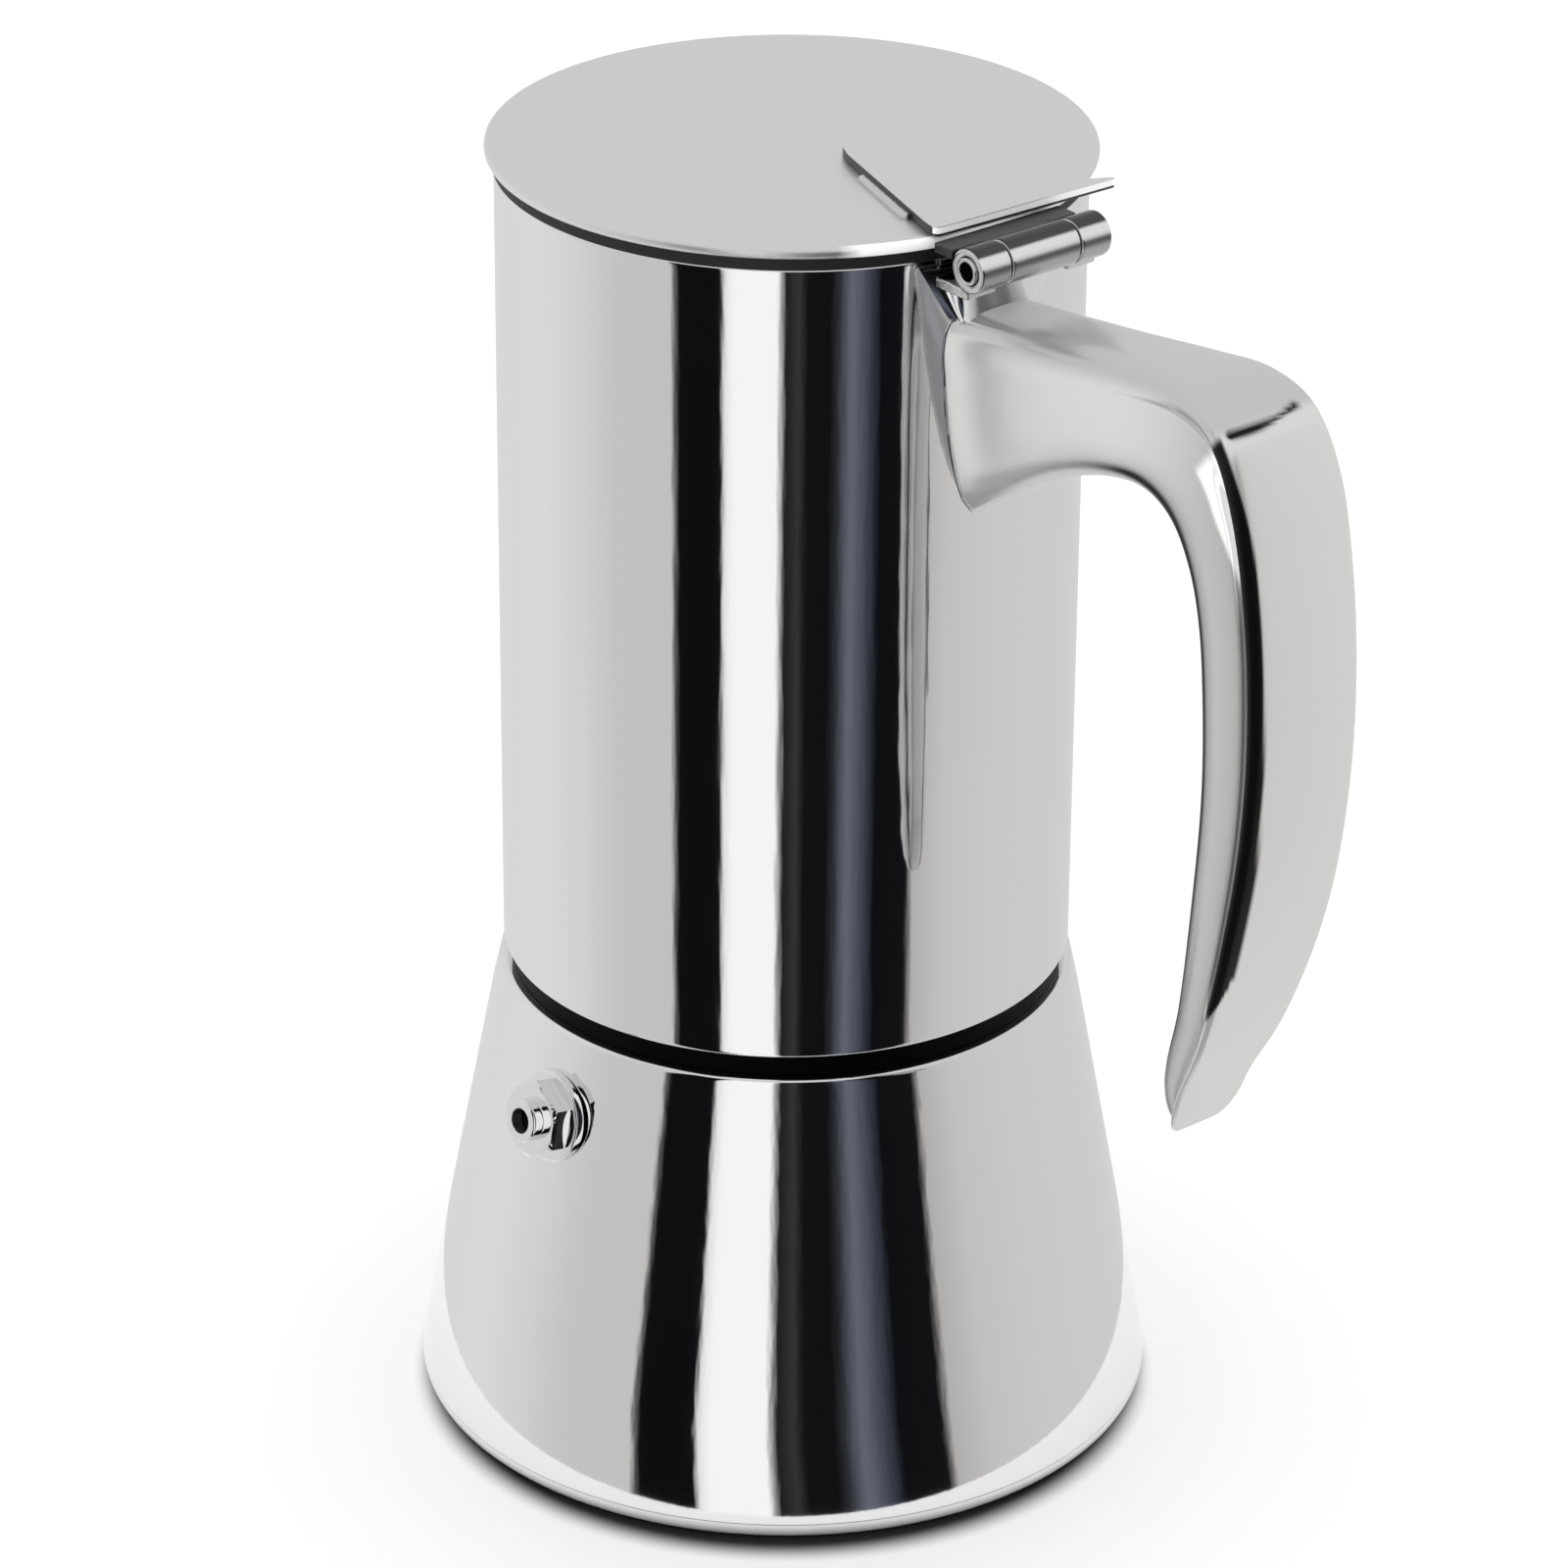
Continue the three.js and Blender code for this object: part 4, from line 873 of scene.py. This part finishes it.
# %% Weld round the root
def root_weld(line, radius=0.35):
    """A thin tube along a closed line: its section is spanned by the outward and the sideways direction."""
    outward = line * [1, 1, 0] / np.linalg.norm(line[:, :2], axis=1)[:, None]
    aside = line - line.mean(axis=0)
    aside /= np.linalg.norm(aside, axis=1)[:, None]
    turn = np.arange(10) * 2 * np.pi / 10
    grid = line[:, None] + radius * (np.cos(turn)[None, :, None] * outward[:, None]
                                     + np.sin(turn)[None, :, None] * aside[:, None])
    return skin("root_weld", grid * MM, POLISHED, "collector")


tell(root_weld(root))

# %% [markdown]
# ## Lid, thumb plate and hinge
# The lid is a flat disc with a rolled rim. A fan-shaped plate lies on it as a thumb rest and hides the
# leaf of the hinge. A disc with a bevel would do from afar, but the rim's full round catches a bright
# line all the way, so the lid is a revolve with a half circle for its rim. The plate is an outline pushed
# up to its thickness, with its corners rounded in the outline and its edges by a small bevel.

# %% Lid
def lid_disc():
    """A dish turned upside down, with a half circle for its rim."""
    r, middle = LID_R - 0.95, LID_Z + 0.95
    edge = arc(r, middle, 0.95, -90, 90, 16)
    return revolved("lid_disc", [
        [0, LID_TOP_Z - WALL], [34.4, LID_TOP_Z - WALL], [35, LID_Z], *edge, [0, LID_TOP_Z],
    ], SATIN, "lid", "lid_disc", segments=256, radius=0.1)


def lid_seal():
    """A square ring between the lid and the mouth; its black is painted shade for the gap under the lid's rim.
    """
    return revolved("lid_seal", [
        [36.6, MOUTH_Z + 0.02], [38.2, MOUTH_Z + 0.02], [38.2, LID_Z - 0.02], [36.6, LID_Z - 0.02],
    ], BLACK, "lid", "lid_seal")


tell(lid_disc(), lid_seal())

# %% Thumb plate
PLATE_PLAN = [
    [8.3, 3], [9, 0.6], [12, -1], [36.6, -9.1], [38.8, -9.5], [39.7, 19.9], [36.8, 14.6], [33.8, 14.3],
    [11, 21.6], [8.6, 20],
]


def extruded(name, outline, low, high, material, body, node, bevel):
    """Pushes a closed outline from one height to another and rounds its edges with a bevel."""
    points = np.array(outline, float)
    n = len(points)
    grid = np.concatenate([np.c_[points, np.full(n, low)], np.c_[points, np.full(n, high)]])
    sides = [[i, (i + 1) % n, n + (i + 1) % n, n + i] for i in range(n)]
    mesh = bpy.data.meshes.new(name)
    mesh.from_pydata((grid * MM).tolist(), [], sides + [list(range(n))[::-1], list(range(n, 2 * n))])
    piece = finish_piece(name, mesh, material, body, node)
    edge = piece.modifiers.new("edge", "BEVEL")
    edge.width, edge.segments, edge.limit_method = bevel * MM, 3, "ANGLE"
    return piece


def capsule(start, end, half, steps=8):
    """Outline of a bar with round ends: two half circles joined by straight sides."""
    start, end = np.array(start, float), np.array(end, float)
    heading = math.atan2(*(end - start)[::-1])
    turns = np.linspace(-np.pi / 2, np.pi / 2, steps + 1)
    caps = [centre + half * np.stack([np.cos(turns + side), np.sin(turns + side)], -1)
            for centre, side in ((end, heading), (start, heading + np.pi))]
    return np.concatenate(caps)


# The plate's finish gives its edges painted shade, and a painted highlight over the hinge.
thumb_plate = extruded("thumb_plate", rounded(PLATE_PLAN, 1.2, 6), LID_TOP_Z + 0.02, LID_TOP_Z + 1.4, PLATE,
                       "lid", "thumb_plate", 0.22)
# The plate's lapped joint on the lid: a short bar along its slanting edge.
plate_lap = extruded("plate_lap", capsule([18.4, -3.6], [31.0, -7.8], 0.75), LID_TOP_Z - 0.1, LID_TOP_Z + 0.75,
                     HINGE, "lid", None, 0.3)
tell(thumb_plate, plate_lap)


# %% Hinge barrels
KNUCKLE_BORE = 1.85


def hinge_axis():
    """Turns a profile's axis from Z to Y and puts it on the hinge."""
    matrix = np.eye(4)
    matrix[:3, :3] = [[1, 0, 0], [0, 0, 1], [0, -1, 0]]
    matrix[:3, 3] = np.array([HINGE_X, 0, HINGE_Z]) * MM
    return matrix


def barrel(name, low, high, body, node=None, radius=HINGE_R, bore=KNUCKLE_BORE, edge=0.35):
    """A short tube along the hinge from one y to another: a rectangle carried round the hinge's axis."""
    return revolved(name, [[bore, low], [radius, low], [radius, high], [bore, high]], HINGE, body, node,
                    segments=72, radius=edge, matrix=hinge_axis())


tell(
    barrel("knuckle_left", -10.6, -5.8, "collector"),
    barrel("knuckle_right", 5.8, 10.6, "collector"),
    barrel("hinge_pin", -10.9, 10.9, "collector", "hinge_pin", radius=1.75, bore=1.25, edge=0.2),
    barrel("lid_knuckle", -5.5, 5.5, "lid", "lid_knuckle"),
)
LEAF_PLAN = [
    [39.3, -10.2], [42.6, -10.2], [42.7, -5.3], [45.5, -5.3], [45.5, 5.3], [42.7, 5.3], [42.6, 10.2],
    [39.3, 10.2],
]
# The leaf lies below the plate's top face, so the plate's finish paints it dark with painted shade.
tell(extruded("lid_leaf", LEAF_PLAN, LID_TOP_Z - 1.5, LID_TOP_Z - 0.2, PLATE, "lid", None, 0.2))


# %% [markdown]
# The bracket is pressed from sheet: it fills the corner between the handle's root and the hinge, wide
# under the knuckles and narrow at the handle. A box would stand off the round tube, so each level is a
# rounded outline whose back lies on the tube, and the levels are joined into one skin.

# %% Hinge bracket
def hinge_bracket():
    """Lofts levels from the handle's root to the hinge; half width and reach grow smoothly with height."""
    t = np.linspace(0, 1, 40)[:, None]
    low, high = 165.2, MOUTH_Z - 1
    z = low + (high - low) * t
    half = 4.6 + 5.6 * t**0.9
    reach = 40.6 + 3.0 * t**1.6
    turn = np.linspace(-np.pi / 2, np.pi / 2, 49)[None]
    y_front = half * np.sign(np.sin(turn)) * np.abs(np.sin(turn)) ** 0.55
    x_wall = np.sqrt((COLLECTOR_R + 0.05) ** 2 - half**2)
    x_front = x_wall + (reach - x_wall) * np.cos(turn) ** 0.45
    y_back = half * np.linspace(1, -1, 25)[None, 1:-1]
    x_back = np.sqrt((COLLECTOR_R + 0.05) ** 2 - y_back**2)
    x, y = np.concatenate([x_front, x_back], 1), np.concatenate([y_front, y_back], 1)
    grid = np.stack([x, y, np.broadcast_to(z, x.shape)], -1)
    return skin("hinge_bracket", grid * MM, POLISHED, "collector", "hinge_bracket", around=False, caps=True,
                sharp=45)


def bracket_leg(side, end):
    """A small flat leg under one outer knuckle."""
    leg = [[40, end * 5.9], [46, end * 5.9], [46, end * 10.5], [40, end * 10.5]]
    return extruded(f"bracket_leg_{side}", leg[::end], MOUTH_Z - 2.3, MOUTH_Z - 1, HINGE, "collector", None,
                    0.25)


tell(hinge_bracket(), bracket_leg("left", -1), bracket_leg("right", 1))

# %% [markdown]
# ## Safety valve
# The valve stands square to the boiler's sloping wall and lets steam out if the coffee blocks the filter.
# Its pieces are turned, so each is a profile round the valve's own axis. A hexagon could be a prism with
# its corners cut by a cone. A turned blank with its flats cut away, as on a lathe and a mill, needs no
# boolean.

# %% Turned pieces
HEX_LOW, HEX_HIGH, PLUG_HIGH, CHAMBER_LOW, BALL_Z = 1.3, 4.2, 5.8, -4.8, -3.34


def hexagonal(flats, low, high, inner):
    """Offset that mills a turned blank down to a hexagon of a width across flats between two heights."""
    def offset(angle, r, z):
        flat = flats / 2 / np.cos(np.mod(angle, np.pi / 3) - np.pi / 6)
        cut = (z > low) & (z < high) & (r > inner)
        return np.where(cut, np.minimum(0, flat - r), 0)
    return offset


def turned(name, profile, material, node=None, body="boiler", offset=None, segments=120, radius=0.12):
    """A profile carried round the valve's own axis."""
    return revolved(name, profile, material, body, node, offset=offset, segments=segments, radius=radius,
                    matrix=valve_matrix(), sharp=30)


print("valve hexagon from", HEX_LOW, "to", HEX_HIGH, "mm out of the wall")


# %% Valve pieces
def valve_body():
    """Shank, flange and hexagon in one, bored for the spring."""
    corner = 5.43
    return turned("valve_body", [
        [1.2, -6.4], [3.4, -6.4], [3.4, 0.02], [6.2, 0.02], [6.2, 1.1], [5.9, HEX_LOW], [corner, HEX_LOW],
        [corner, 3.75], [4.75, HEX_HIGH], [2.0, HEX_HIGH], [2.0, CHAMBER_LOW], [1.2, CHAMBER_LOW],
    ], POLISHED, "valve_body", offset=hexagonal(9.4, HEX_LOW + 0.02, HEX_HIGH + 0.1, 4.2), segments=180)


def valve_nut():
    """A hexagon nut inside the wall."""
    high = -2.8
    return turned("valve_nut", [
        [3.45, high - 2.2], [5.2, high - 2.2], [6.0, high - 1.8], [6.0, high - 0.4], [5.2, high],
        [3.45, high],
    ], INNER, "valve_nut", offset=hexagonal(10.4, high - 3, high + 1, 4.2), segments=180)


def vent_thread():
    """A dark thread that lines the vent hole as painted shade inside it: a zigzag profile."""
    low, high = HEX_HIGH + 0.05, PLUG_HIGH - 0.2
    thread = [[1.5 + 0.15 * (i % 2), z] for i, z in enumerate(np.linspace(high, low, 11))]
    return turned("vent_thread", [[1.68, low], [1.68, high], *thread], SPRING, radius=0.03)


def valve_plug():
    """A short stub with the vent hole."""
    low, high = HEX_HIGH, PLUG_HIGH
    return turned("valve_plug", [[1.7, low], [2.9, low], [2.9, high - 0.2], [2.7, high], [1.75, high],
                                 [1.7, high - 0.05]], POLISHED, "valve_plug", radius=0.05)


def valve_washer():
    """A soft ring between the nut and the wall."""
    return turned("valve_washer", [[3.45, -2.49], [5.6, -2.49], [5.6, -1.49], [3.45, -1.49]], WHITE,
                  "valve_washer", radius=0.3)


def valve_ball():
    """A ball: a half circle carried round."""
    profile = [[0, BALL_Z - 1.85], *arc(0, BALL_Z, 1.85, -88, 88, 40), [0, BALL_Z + 1.85]]
    return turned("valve_ball", profile, SPRING, "valve_ball", "valve_ball", radius=0.01)


def valve_spring():
    """Wire along a helix whose end coils lie flat: height eases in and out over the first and last turn.
    """
    turns, wire, radius, low, high = 5.6, 0.25, 1.6, -1.7, 3.9
    t = np.linspace(0, 1, 420)
    angle = 2 * np.pi * turns * t
    height = low + (high - low) * np.interp(t, [0, 0.16, 0.84, 1], [0, 0.07, 0.93, 1])
    line = np.stack([radius * np.cos(angle), radius * np.sin(angle), height], -1)
    outward = np.stack([np.cos(angle), np.sin(angle), 0 * angle], -1)
    round_wire = np.arange(12) * np.pi / 6
    grid = line[:, None] + wire * (np.cos(round_wire)[None, :, None] * outward[:, None]
                                   + np.sin(round_wire)[None, :, None] * np.array([0, 0, 1.0]))
    matrix = valve_matrix()
    piece = skin("valve_spring", grid * MM @ matrix[:3, :3].T + matrix[:3, 3], SPRING, None, "valve_spring",
                 around=False, caps=True)
    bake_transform(piece)
    return piece


tell(valve_body(), valve_nut(), vent_thread(), valve_plug(), valve_spring(), valve_washer(), valve_ball())

# %% [markdown]
# ## Funnel, filter and seal
# The funnel hangs by its flange on the neck and its stem reaches nearly to the floor of the boiler. It
# holds the coffee on a perforated plate, and a second plate under the seal keeps the grounds out of the
# upper pot. Hundreds of holes cut by booleans would be slow, so a plate is rings of equal cells with one
# hole each: quads run from the border of a cell to the rim of its hole.

# %% Funnel
def funnel():
    """Stem, cone and cup in one profile, with the flange at the top."""
    cup_low, cone_low, rim = 50.05, 45.05, 73.85
    return revolved("funnel", [
        [4.8, 8.4], [5.6, 8.4], [5.6, cone_low - 0.6], [6.2, cone_low + 0.1], [28.4, cup_low],
        [29.6, cup_low + 0.6], [30.4, cup_low + 2], [30.4, 72.4], [30.7, 73.05], [32.6, 73.05], [32.6, rim],
        [30.0, rim], [29.6, rim - 0.5], [29.6, cup_low + 2.3], [29.1, cup_low + 1.4], [28.1, cup_low + 0.8],
        [5.6, cone_low + 0.9], [4.8, cone_low],
    ], INNER, "funnel", "funnel", segments=256, radius=0.25)


tell(funnel())

# %% Perforated plates
CIRCLE = 288  # points round every band, which each count of cells divides
CELLS = [6, 12, 18, 24, 36, 36, 48]


def ringed(radius, angle):
    """Points at a radius and an angle, which may both be arrays."""
    return np.stack([radius * np.cos(angle), radius * np.sin(angle)], -1)


def perforated(name, radius, low, thick, hole, spacing, rise, body):
    """Sheet of cells with a hole each, on rings one spacing apart, in a plain rim; rise lifts its middle."""
    full = np.arange(CIRCLE) * 2 * np.pi / CIRCLE
    pairs = [(ringed(spacing / 2, full)[None], ringed(hole, full)[None])]
    for ring, count in enumerate(CELLS, start=1):
        inner, outer = (ring - 0.5) * spacing, (ring + 0.5) * spacing
        turn = np.linspace(0, 2 * np.pi / count, CIRCLE // count + 1)
        side = np.linspace(inner, outer, 5)[1:-1]
        radii = np.concatenate([np.full(len(turn), outer), side[::-1], np.full(len(turn), inner), side])
        angles = np.concatenate([turn, np.full(3, turn[-1]), turn[::-1], np.zeros(3)])
        angles = angles[None] + (np.arange(count) * 2 * np.pi / count)[:, None]
        border = ringed(radii[None], angles)
        centre = ringed(ring * spacing, (np.arange(count) + 0.5) * 2 * np.pi / count)[:, None]
        ray = border - centre
        pairs.append((border, centre + hole * ray / np.linalg.norm(ray, axis=-1, keepdims=True)))
    last = (len(CELLS) + 0.5) * spacing
    steps = np.linspace(last, radius, 9)
    pairs += [(ringed(a, full)[None], ringed(b, full)[None]) for a, b in zip(steps[:-1], steps[1:])]
    points, faces, start = [], [], 0
    for first, second in pairs:
        count, n = first.shape[:2]
        both = np.stack([first, second], axis=1).reshape(-1, 2)
        cell = np.arange(count)[:, None] * 2 * n + start
        here, after = np.arange(n)[None], (np.arange(n)[None] + 1) % n
        quads = np.stack([cell + here, cell + after, cell + n + after, cell + n + here], -1)
        faces += quads.reshape(-1, 4).tolist()
        points.append(both)
        start += len(both)
    flat = np.concatenate(points)
    away = np.linalg.norm(flat, axis=1)
    height = low + thick + rise * (1 - smoothstep(away, radius - 6.5, radius - 5))
    mesh = bpy.data.meshes.new(name)
    mesh.from_pydata((np.c_[flat, height] * MM).tolist(), [], faces)
    piece = finish_piece(name, mesh, INNER, body, name)
    sheet = piece.modifiers.new("sheet", "SOLIDIFY")
    sheet.thickness, sheet.offset, sheet.use_rim = thick * MM, -1, True
    return piece


tell(
    perforated("funnel_plate", 29.3, 52.65, 0.6, 0.8, 3.75, 0, "funnel"),
    perforated("filter_plate", 31, 76.95, 0.5, 0.6, 3.25, 0.5, "collector"),
)

# %% Gasket and heat disc
GASKET = [[27.8, 73.9], [33.8, 73.9], [33.8, 76.9], [27.8, 76.9]]
HEAT_DISC = [[0, 1.1], [45, 1.1], [45, 4.3], [0, 4.3]]
tell(
    revolved("gasket", GASKET, WHITE, "collector", "gasket", radius=0.5),
    revolved("heat_disc", HEAT_DISC, ALUMINIUM, "boiler", "heat_disc", radius=0.5),
)

# %% [markdown]
# ## Stage
# Steel shows what stands round it. Tall white and black cards stand round the pot, as in a product
# studio, and a pale dome hangs over it. A ready-made room round it would put strange shapes into the
# steel. The camera and the floor see neither the cards nor the dome.

# %% Cards
def srgb(level):
    """Linear value of an sRGB level from 0 to 255."""
    c = level / 255
    return c / 12.92 if c <= 0.04045 else ((c + 0.055) / 1.055) ** 2.4


CARD_R, CARD_TOP, CARD_LEAN = 0.12, 0.186, 0.009
STEEL = 0.86  # the share of light that polished steel gives back
# Degrees to the right of the stage's front, and the sRGB levels that the polished wall should show there.
CARDS = [
    (-180, (203, 203, 204)), (-120, (212, 212, 213)), (-98, (216, 216, 216)), (-76, (207, 207, 207)),
    (-60, (195, 194, 193)), (-38.8, (193, 192, 191)), (-37.8, (14, 14, 15)), (-22.4, (13, 13, 15)),
    (-21, (226, 226, 225)), (-18, (244, 244, 243)), (-4, (244, 244, 243)), (-2.2, (20, 20, 20)),
    (3, (52, 52, 52)), (5, (18, 18, 18)), (13, (16, 16, 17)), (15.5, (44, 45, 50)), (20, (98, 102, 116)),
    (25, (64, 67, 80)),
    (29.5, (14, 15, 18)), (41.5, (18, 18, 20)), (43.5, (176, 174, 172)), (55, (193, 192, 190)),
    (75, (199, 199, 198)), (110, (201, 201, 201)), (180, (203, 203, 204)),
]
SKIRT_R = 0.0665  # the cards run in along the floor to here, so that the cone's foot still sees them


def glowing(name):
    """A material that gives light; returns it, its emission node and its object coordinates."""
    material = bpy.data.materials.new(name)
    material.use_nodes = True
    tree = material.node_tree
    tree.nodes.clear()
    light, out = tree.nodes.new("ShaderNodeEmission"), tree.nodes.new("ShaderNodeOutputMaterial")
    tree.links.new(light.outputs[0], out.inputs["Surface"])
    return material, light, Value(tree, tree.nodes.new("ShaderNodeTexCoord").outputs["Object"])


def card_material():
    """Levels round the pot, as stops over the angle from the stage's front.

    Close to the pot the same reflected ray lands at a smaller angle, so the pattern is drawn in along the
    floor: the angle is divided by (2 - BASE_R / radius) / (2 - BASE_R / CARD_R), and shifted by a small lean.
    """
    material, light, place = glowing("cards")
    x, y, _ = axes(place)
    # The stage's front stands at -40 degrees from +X; the fraction of a turn is 0 towards it.
    turn = y.math("ARCTAN2", x) * (1 / (2 * math.pi)) + (90 - math.degrees(STAGE_TURN)) / 360
    turn = (turn + 0.5).math("FRACT") - 0.5
    radius = (x * x + y * y).math("SQRT")
    spread = (2.0 - radius.math("DIVIDE", BASE_R * MM).math("POWER", -1.0)) * (1 / (2 - BASE_R * MM / CARD_R))
    turn = turn.math("DIVIDE", spread) + 0.5 - (1 - radius * (1 / CARD_R)) * CARD_LEAN
    colors = ramp(turn, [(azimuth, [srgb(level) / STEEL for level in levels]) for azimuth, levels in CARDS])
    light.id_data.links.new(colors.socket, light.inputs["Color"])
    return material


def stage_mesh(name, points, faces, material):
    """A mesh that belongs to the stage and not to the pot."""
    mesh = bpy.data.meshes.new(name)
    mesh.from_pydata(points, [], faces)
    mesh.materials.append(material)
    piece = bpy.data.objects.new(name, mesh)
    bpy.context.scene.collection.objects.link(piece)
    return piece


def reflected_only(piece):
    """Leaves a stage piece to the reflections: no camera, no shadow, no light on the floor."""
    piece.visible_camera = piece.visible_diffuse = piece.visible_shadow = piece.visible_transmission = False
    return piece


def stand_cards():
    """A tube round the pot that runs in along the floor: three rings of points."""
    count = 360
    angle = np.arange(count) * 2 * np.pi / count
    ring = np.stack([CARD_R * np.cos(angle), CARD_R * np.sin(angle)], -1)
    levels = [(SKIRT_R / CARD_R, 0.0004), (1, 0.0004), (1, CARD_TOP)]
    points = np.concatenate([np.c_[ring * share, np.full(count, height)] for share, height in levels])
    faces = grid_quads(len(levels), count, around=False).reshape(-1, 4)
    return reflected_only(stage_mesh("cards", points.tolist(), faces.tolist(), card_material()))


tell(stand_cards())

# %% Dome
DOME_R, DOME_LEVEL = 0.6, 203


def hang_dome():
    """A pale half sphere in two angles: every upward reflection ends in it."""
    turn = np.arange(64) * 2 * np.pi / 64
    rise = np.linspace(0.0, np.pi / 2, 17)
    grid = np.stack([np.outer(np.cos(turn), np.cos(rise)), np.outer(np.sin(turn), np.cos(rise)),
                     np.outer(np.ones(64), np.sin(rise))], -1) * DOME_R
    material, light, _ = glowing("dome_glow")
    light.inputs["Color"].default_value = (1, 1, 1, 1)
    light.inputs["Strength"].default_value = srgb(DOME_LEVEL) / STEEL
    faces = grid_quads(64, 17, loop=False).reshape(-1, 4)
    return reflected_only(stage_mesh("dome", grid.reshape(-1, 3).tolist(), faces.tolist(), material))


tell(hang_dome())

# %% [markdown]
# The floor is white, with a dark line where the base stands on it. Light from all sides leaves hardly any
# shadow there, so the line is painted on the floor: a smooth step of the distance from the pot's foot.

# %% Floor and light
SHADOW_LEAN, SHADOW_IN, SHADOW_OUT = 0.004, 0.0464, 0.0515
FLOOR_HALF = 6.0


def lay_floor():
    """A white sheet; its shadow lies a little towards the stage's front."""
    material = bpy.data.materials.new("floor")
    material.use_nodes = True
    tree = material.node_tree
    shader = tree.nodes["Principled BSDF"]
    place = Value(tree, tree.nodes.new("ShaderNodeTexCoord").outputs["Object"])
    lean = SHADOW_LEAN * np.array([math.sin(STAGE_TURN), -math.cos(STAGE_TURN)])
    shifted = place.node("ShaderNodeVectorMath", {"operation": "SUBTRACT"}, i0=place, i1=(*lean, 0))
    shifted = Value(tree, shifted.outputs["Vector"])
    away = shifted.node("ShaderNodeVectorMath", {"operation": "LENGTH"}, Vector=shifted).outputs["Value"]
    fade = place.node("ShaderNodeMapRange", {"interpolation_type": "SMOOTHSTEP"}, Value=Value(tree, away),
                      From_Min=SHADOW_IN, From_Max=SHADOW_OUT)
    link(mixed(Value(tree, fade.outputs[0]), (0.02, 0.02, 0.02), (0.95, 0.95, 0.95)), shader, "Base Color")
    shader.inputs["Roughness"].default_value = 0.8
    shader.inputs["Specular IOR Level"].default_value = 0.1
    corners = [(x * FLOOR_HALF, y * FLOOR_HALF, 0) for x, y in ((-1, -1), (1, -1), (1, 1), (-1, 1))]
    return stage_mesh("floor", corners, [[0, 1, 2, 3]], material)


def light_world():
    """An even white sky behind everything."""
    world = bpy.data.worlds.new("world")
    bpy.context.scene.world = world
    world.use_nodes = True
    world.node_tree.nodes["Background"].inputs["Color"].default_value = (1, 1, 1, 1)
    world.node_tree.nodes["Background"].inputs["Strength"].default_value = 1.0


def sun_light():
    """A wide soft sun from above lifts the floor to white, with no highlight of its own in the steel."""
    data = bpy.data.lights.new("sky", "SUN")
    data.energy, data.angle = 0.55, math.radians(120)
    light = bpy.data.objects.new("sky", data)
    light.visible_glossy = False
    bpy.context.scene.collection.objects.link(light)


tell(lay_floor())
light_world()
sun_light()
bpy.context.scene.view_settings.view_transform = "Standard"
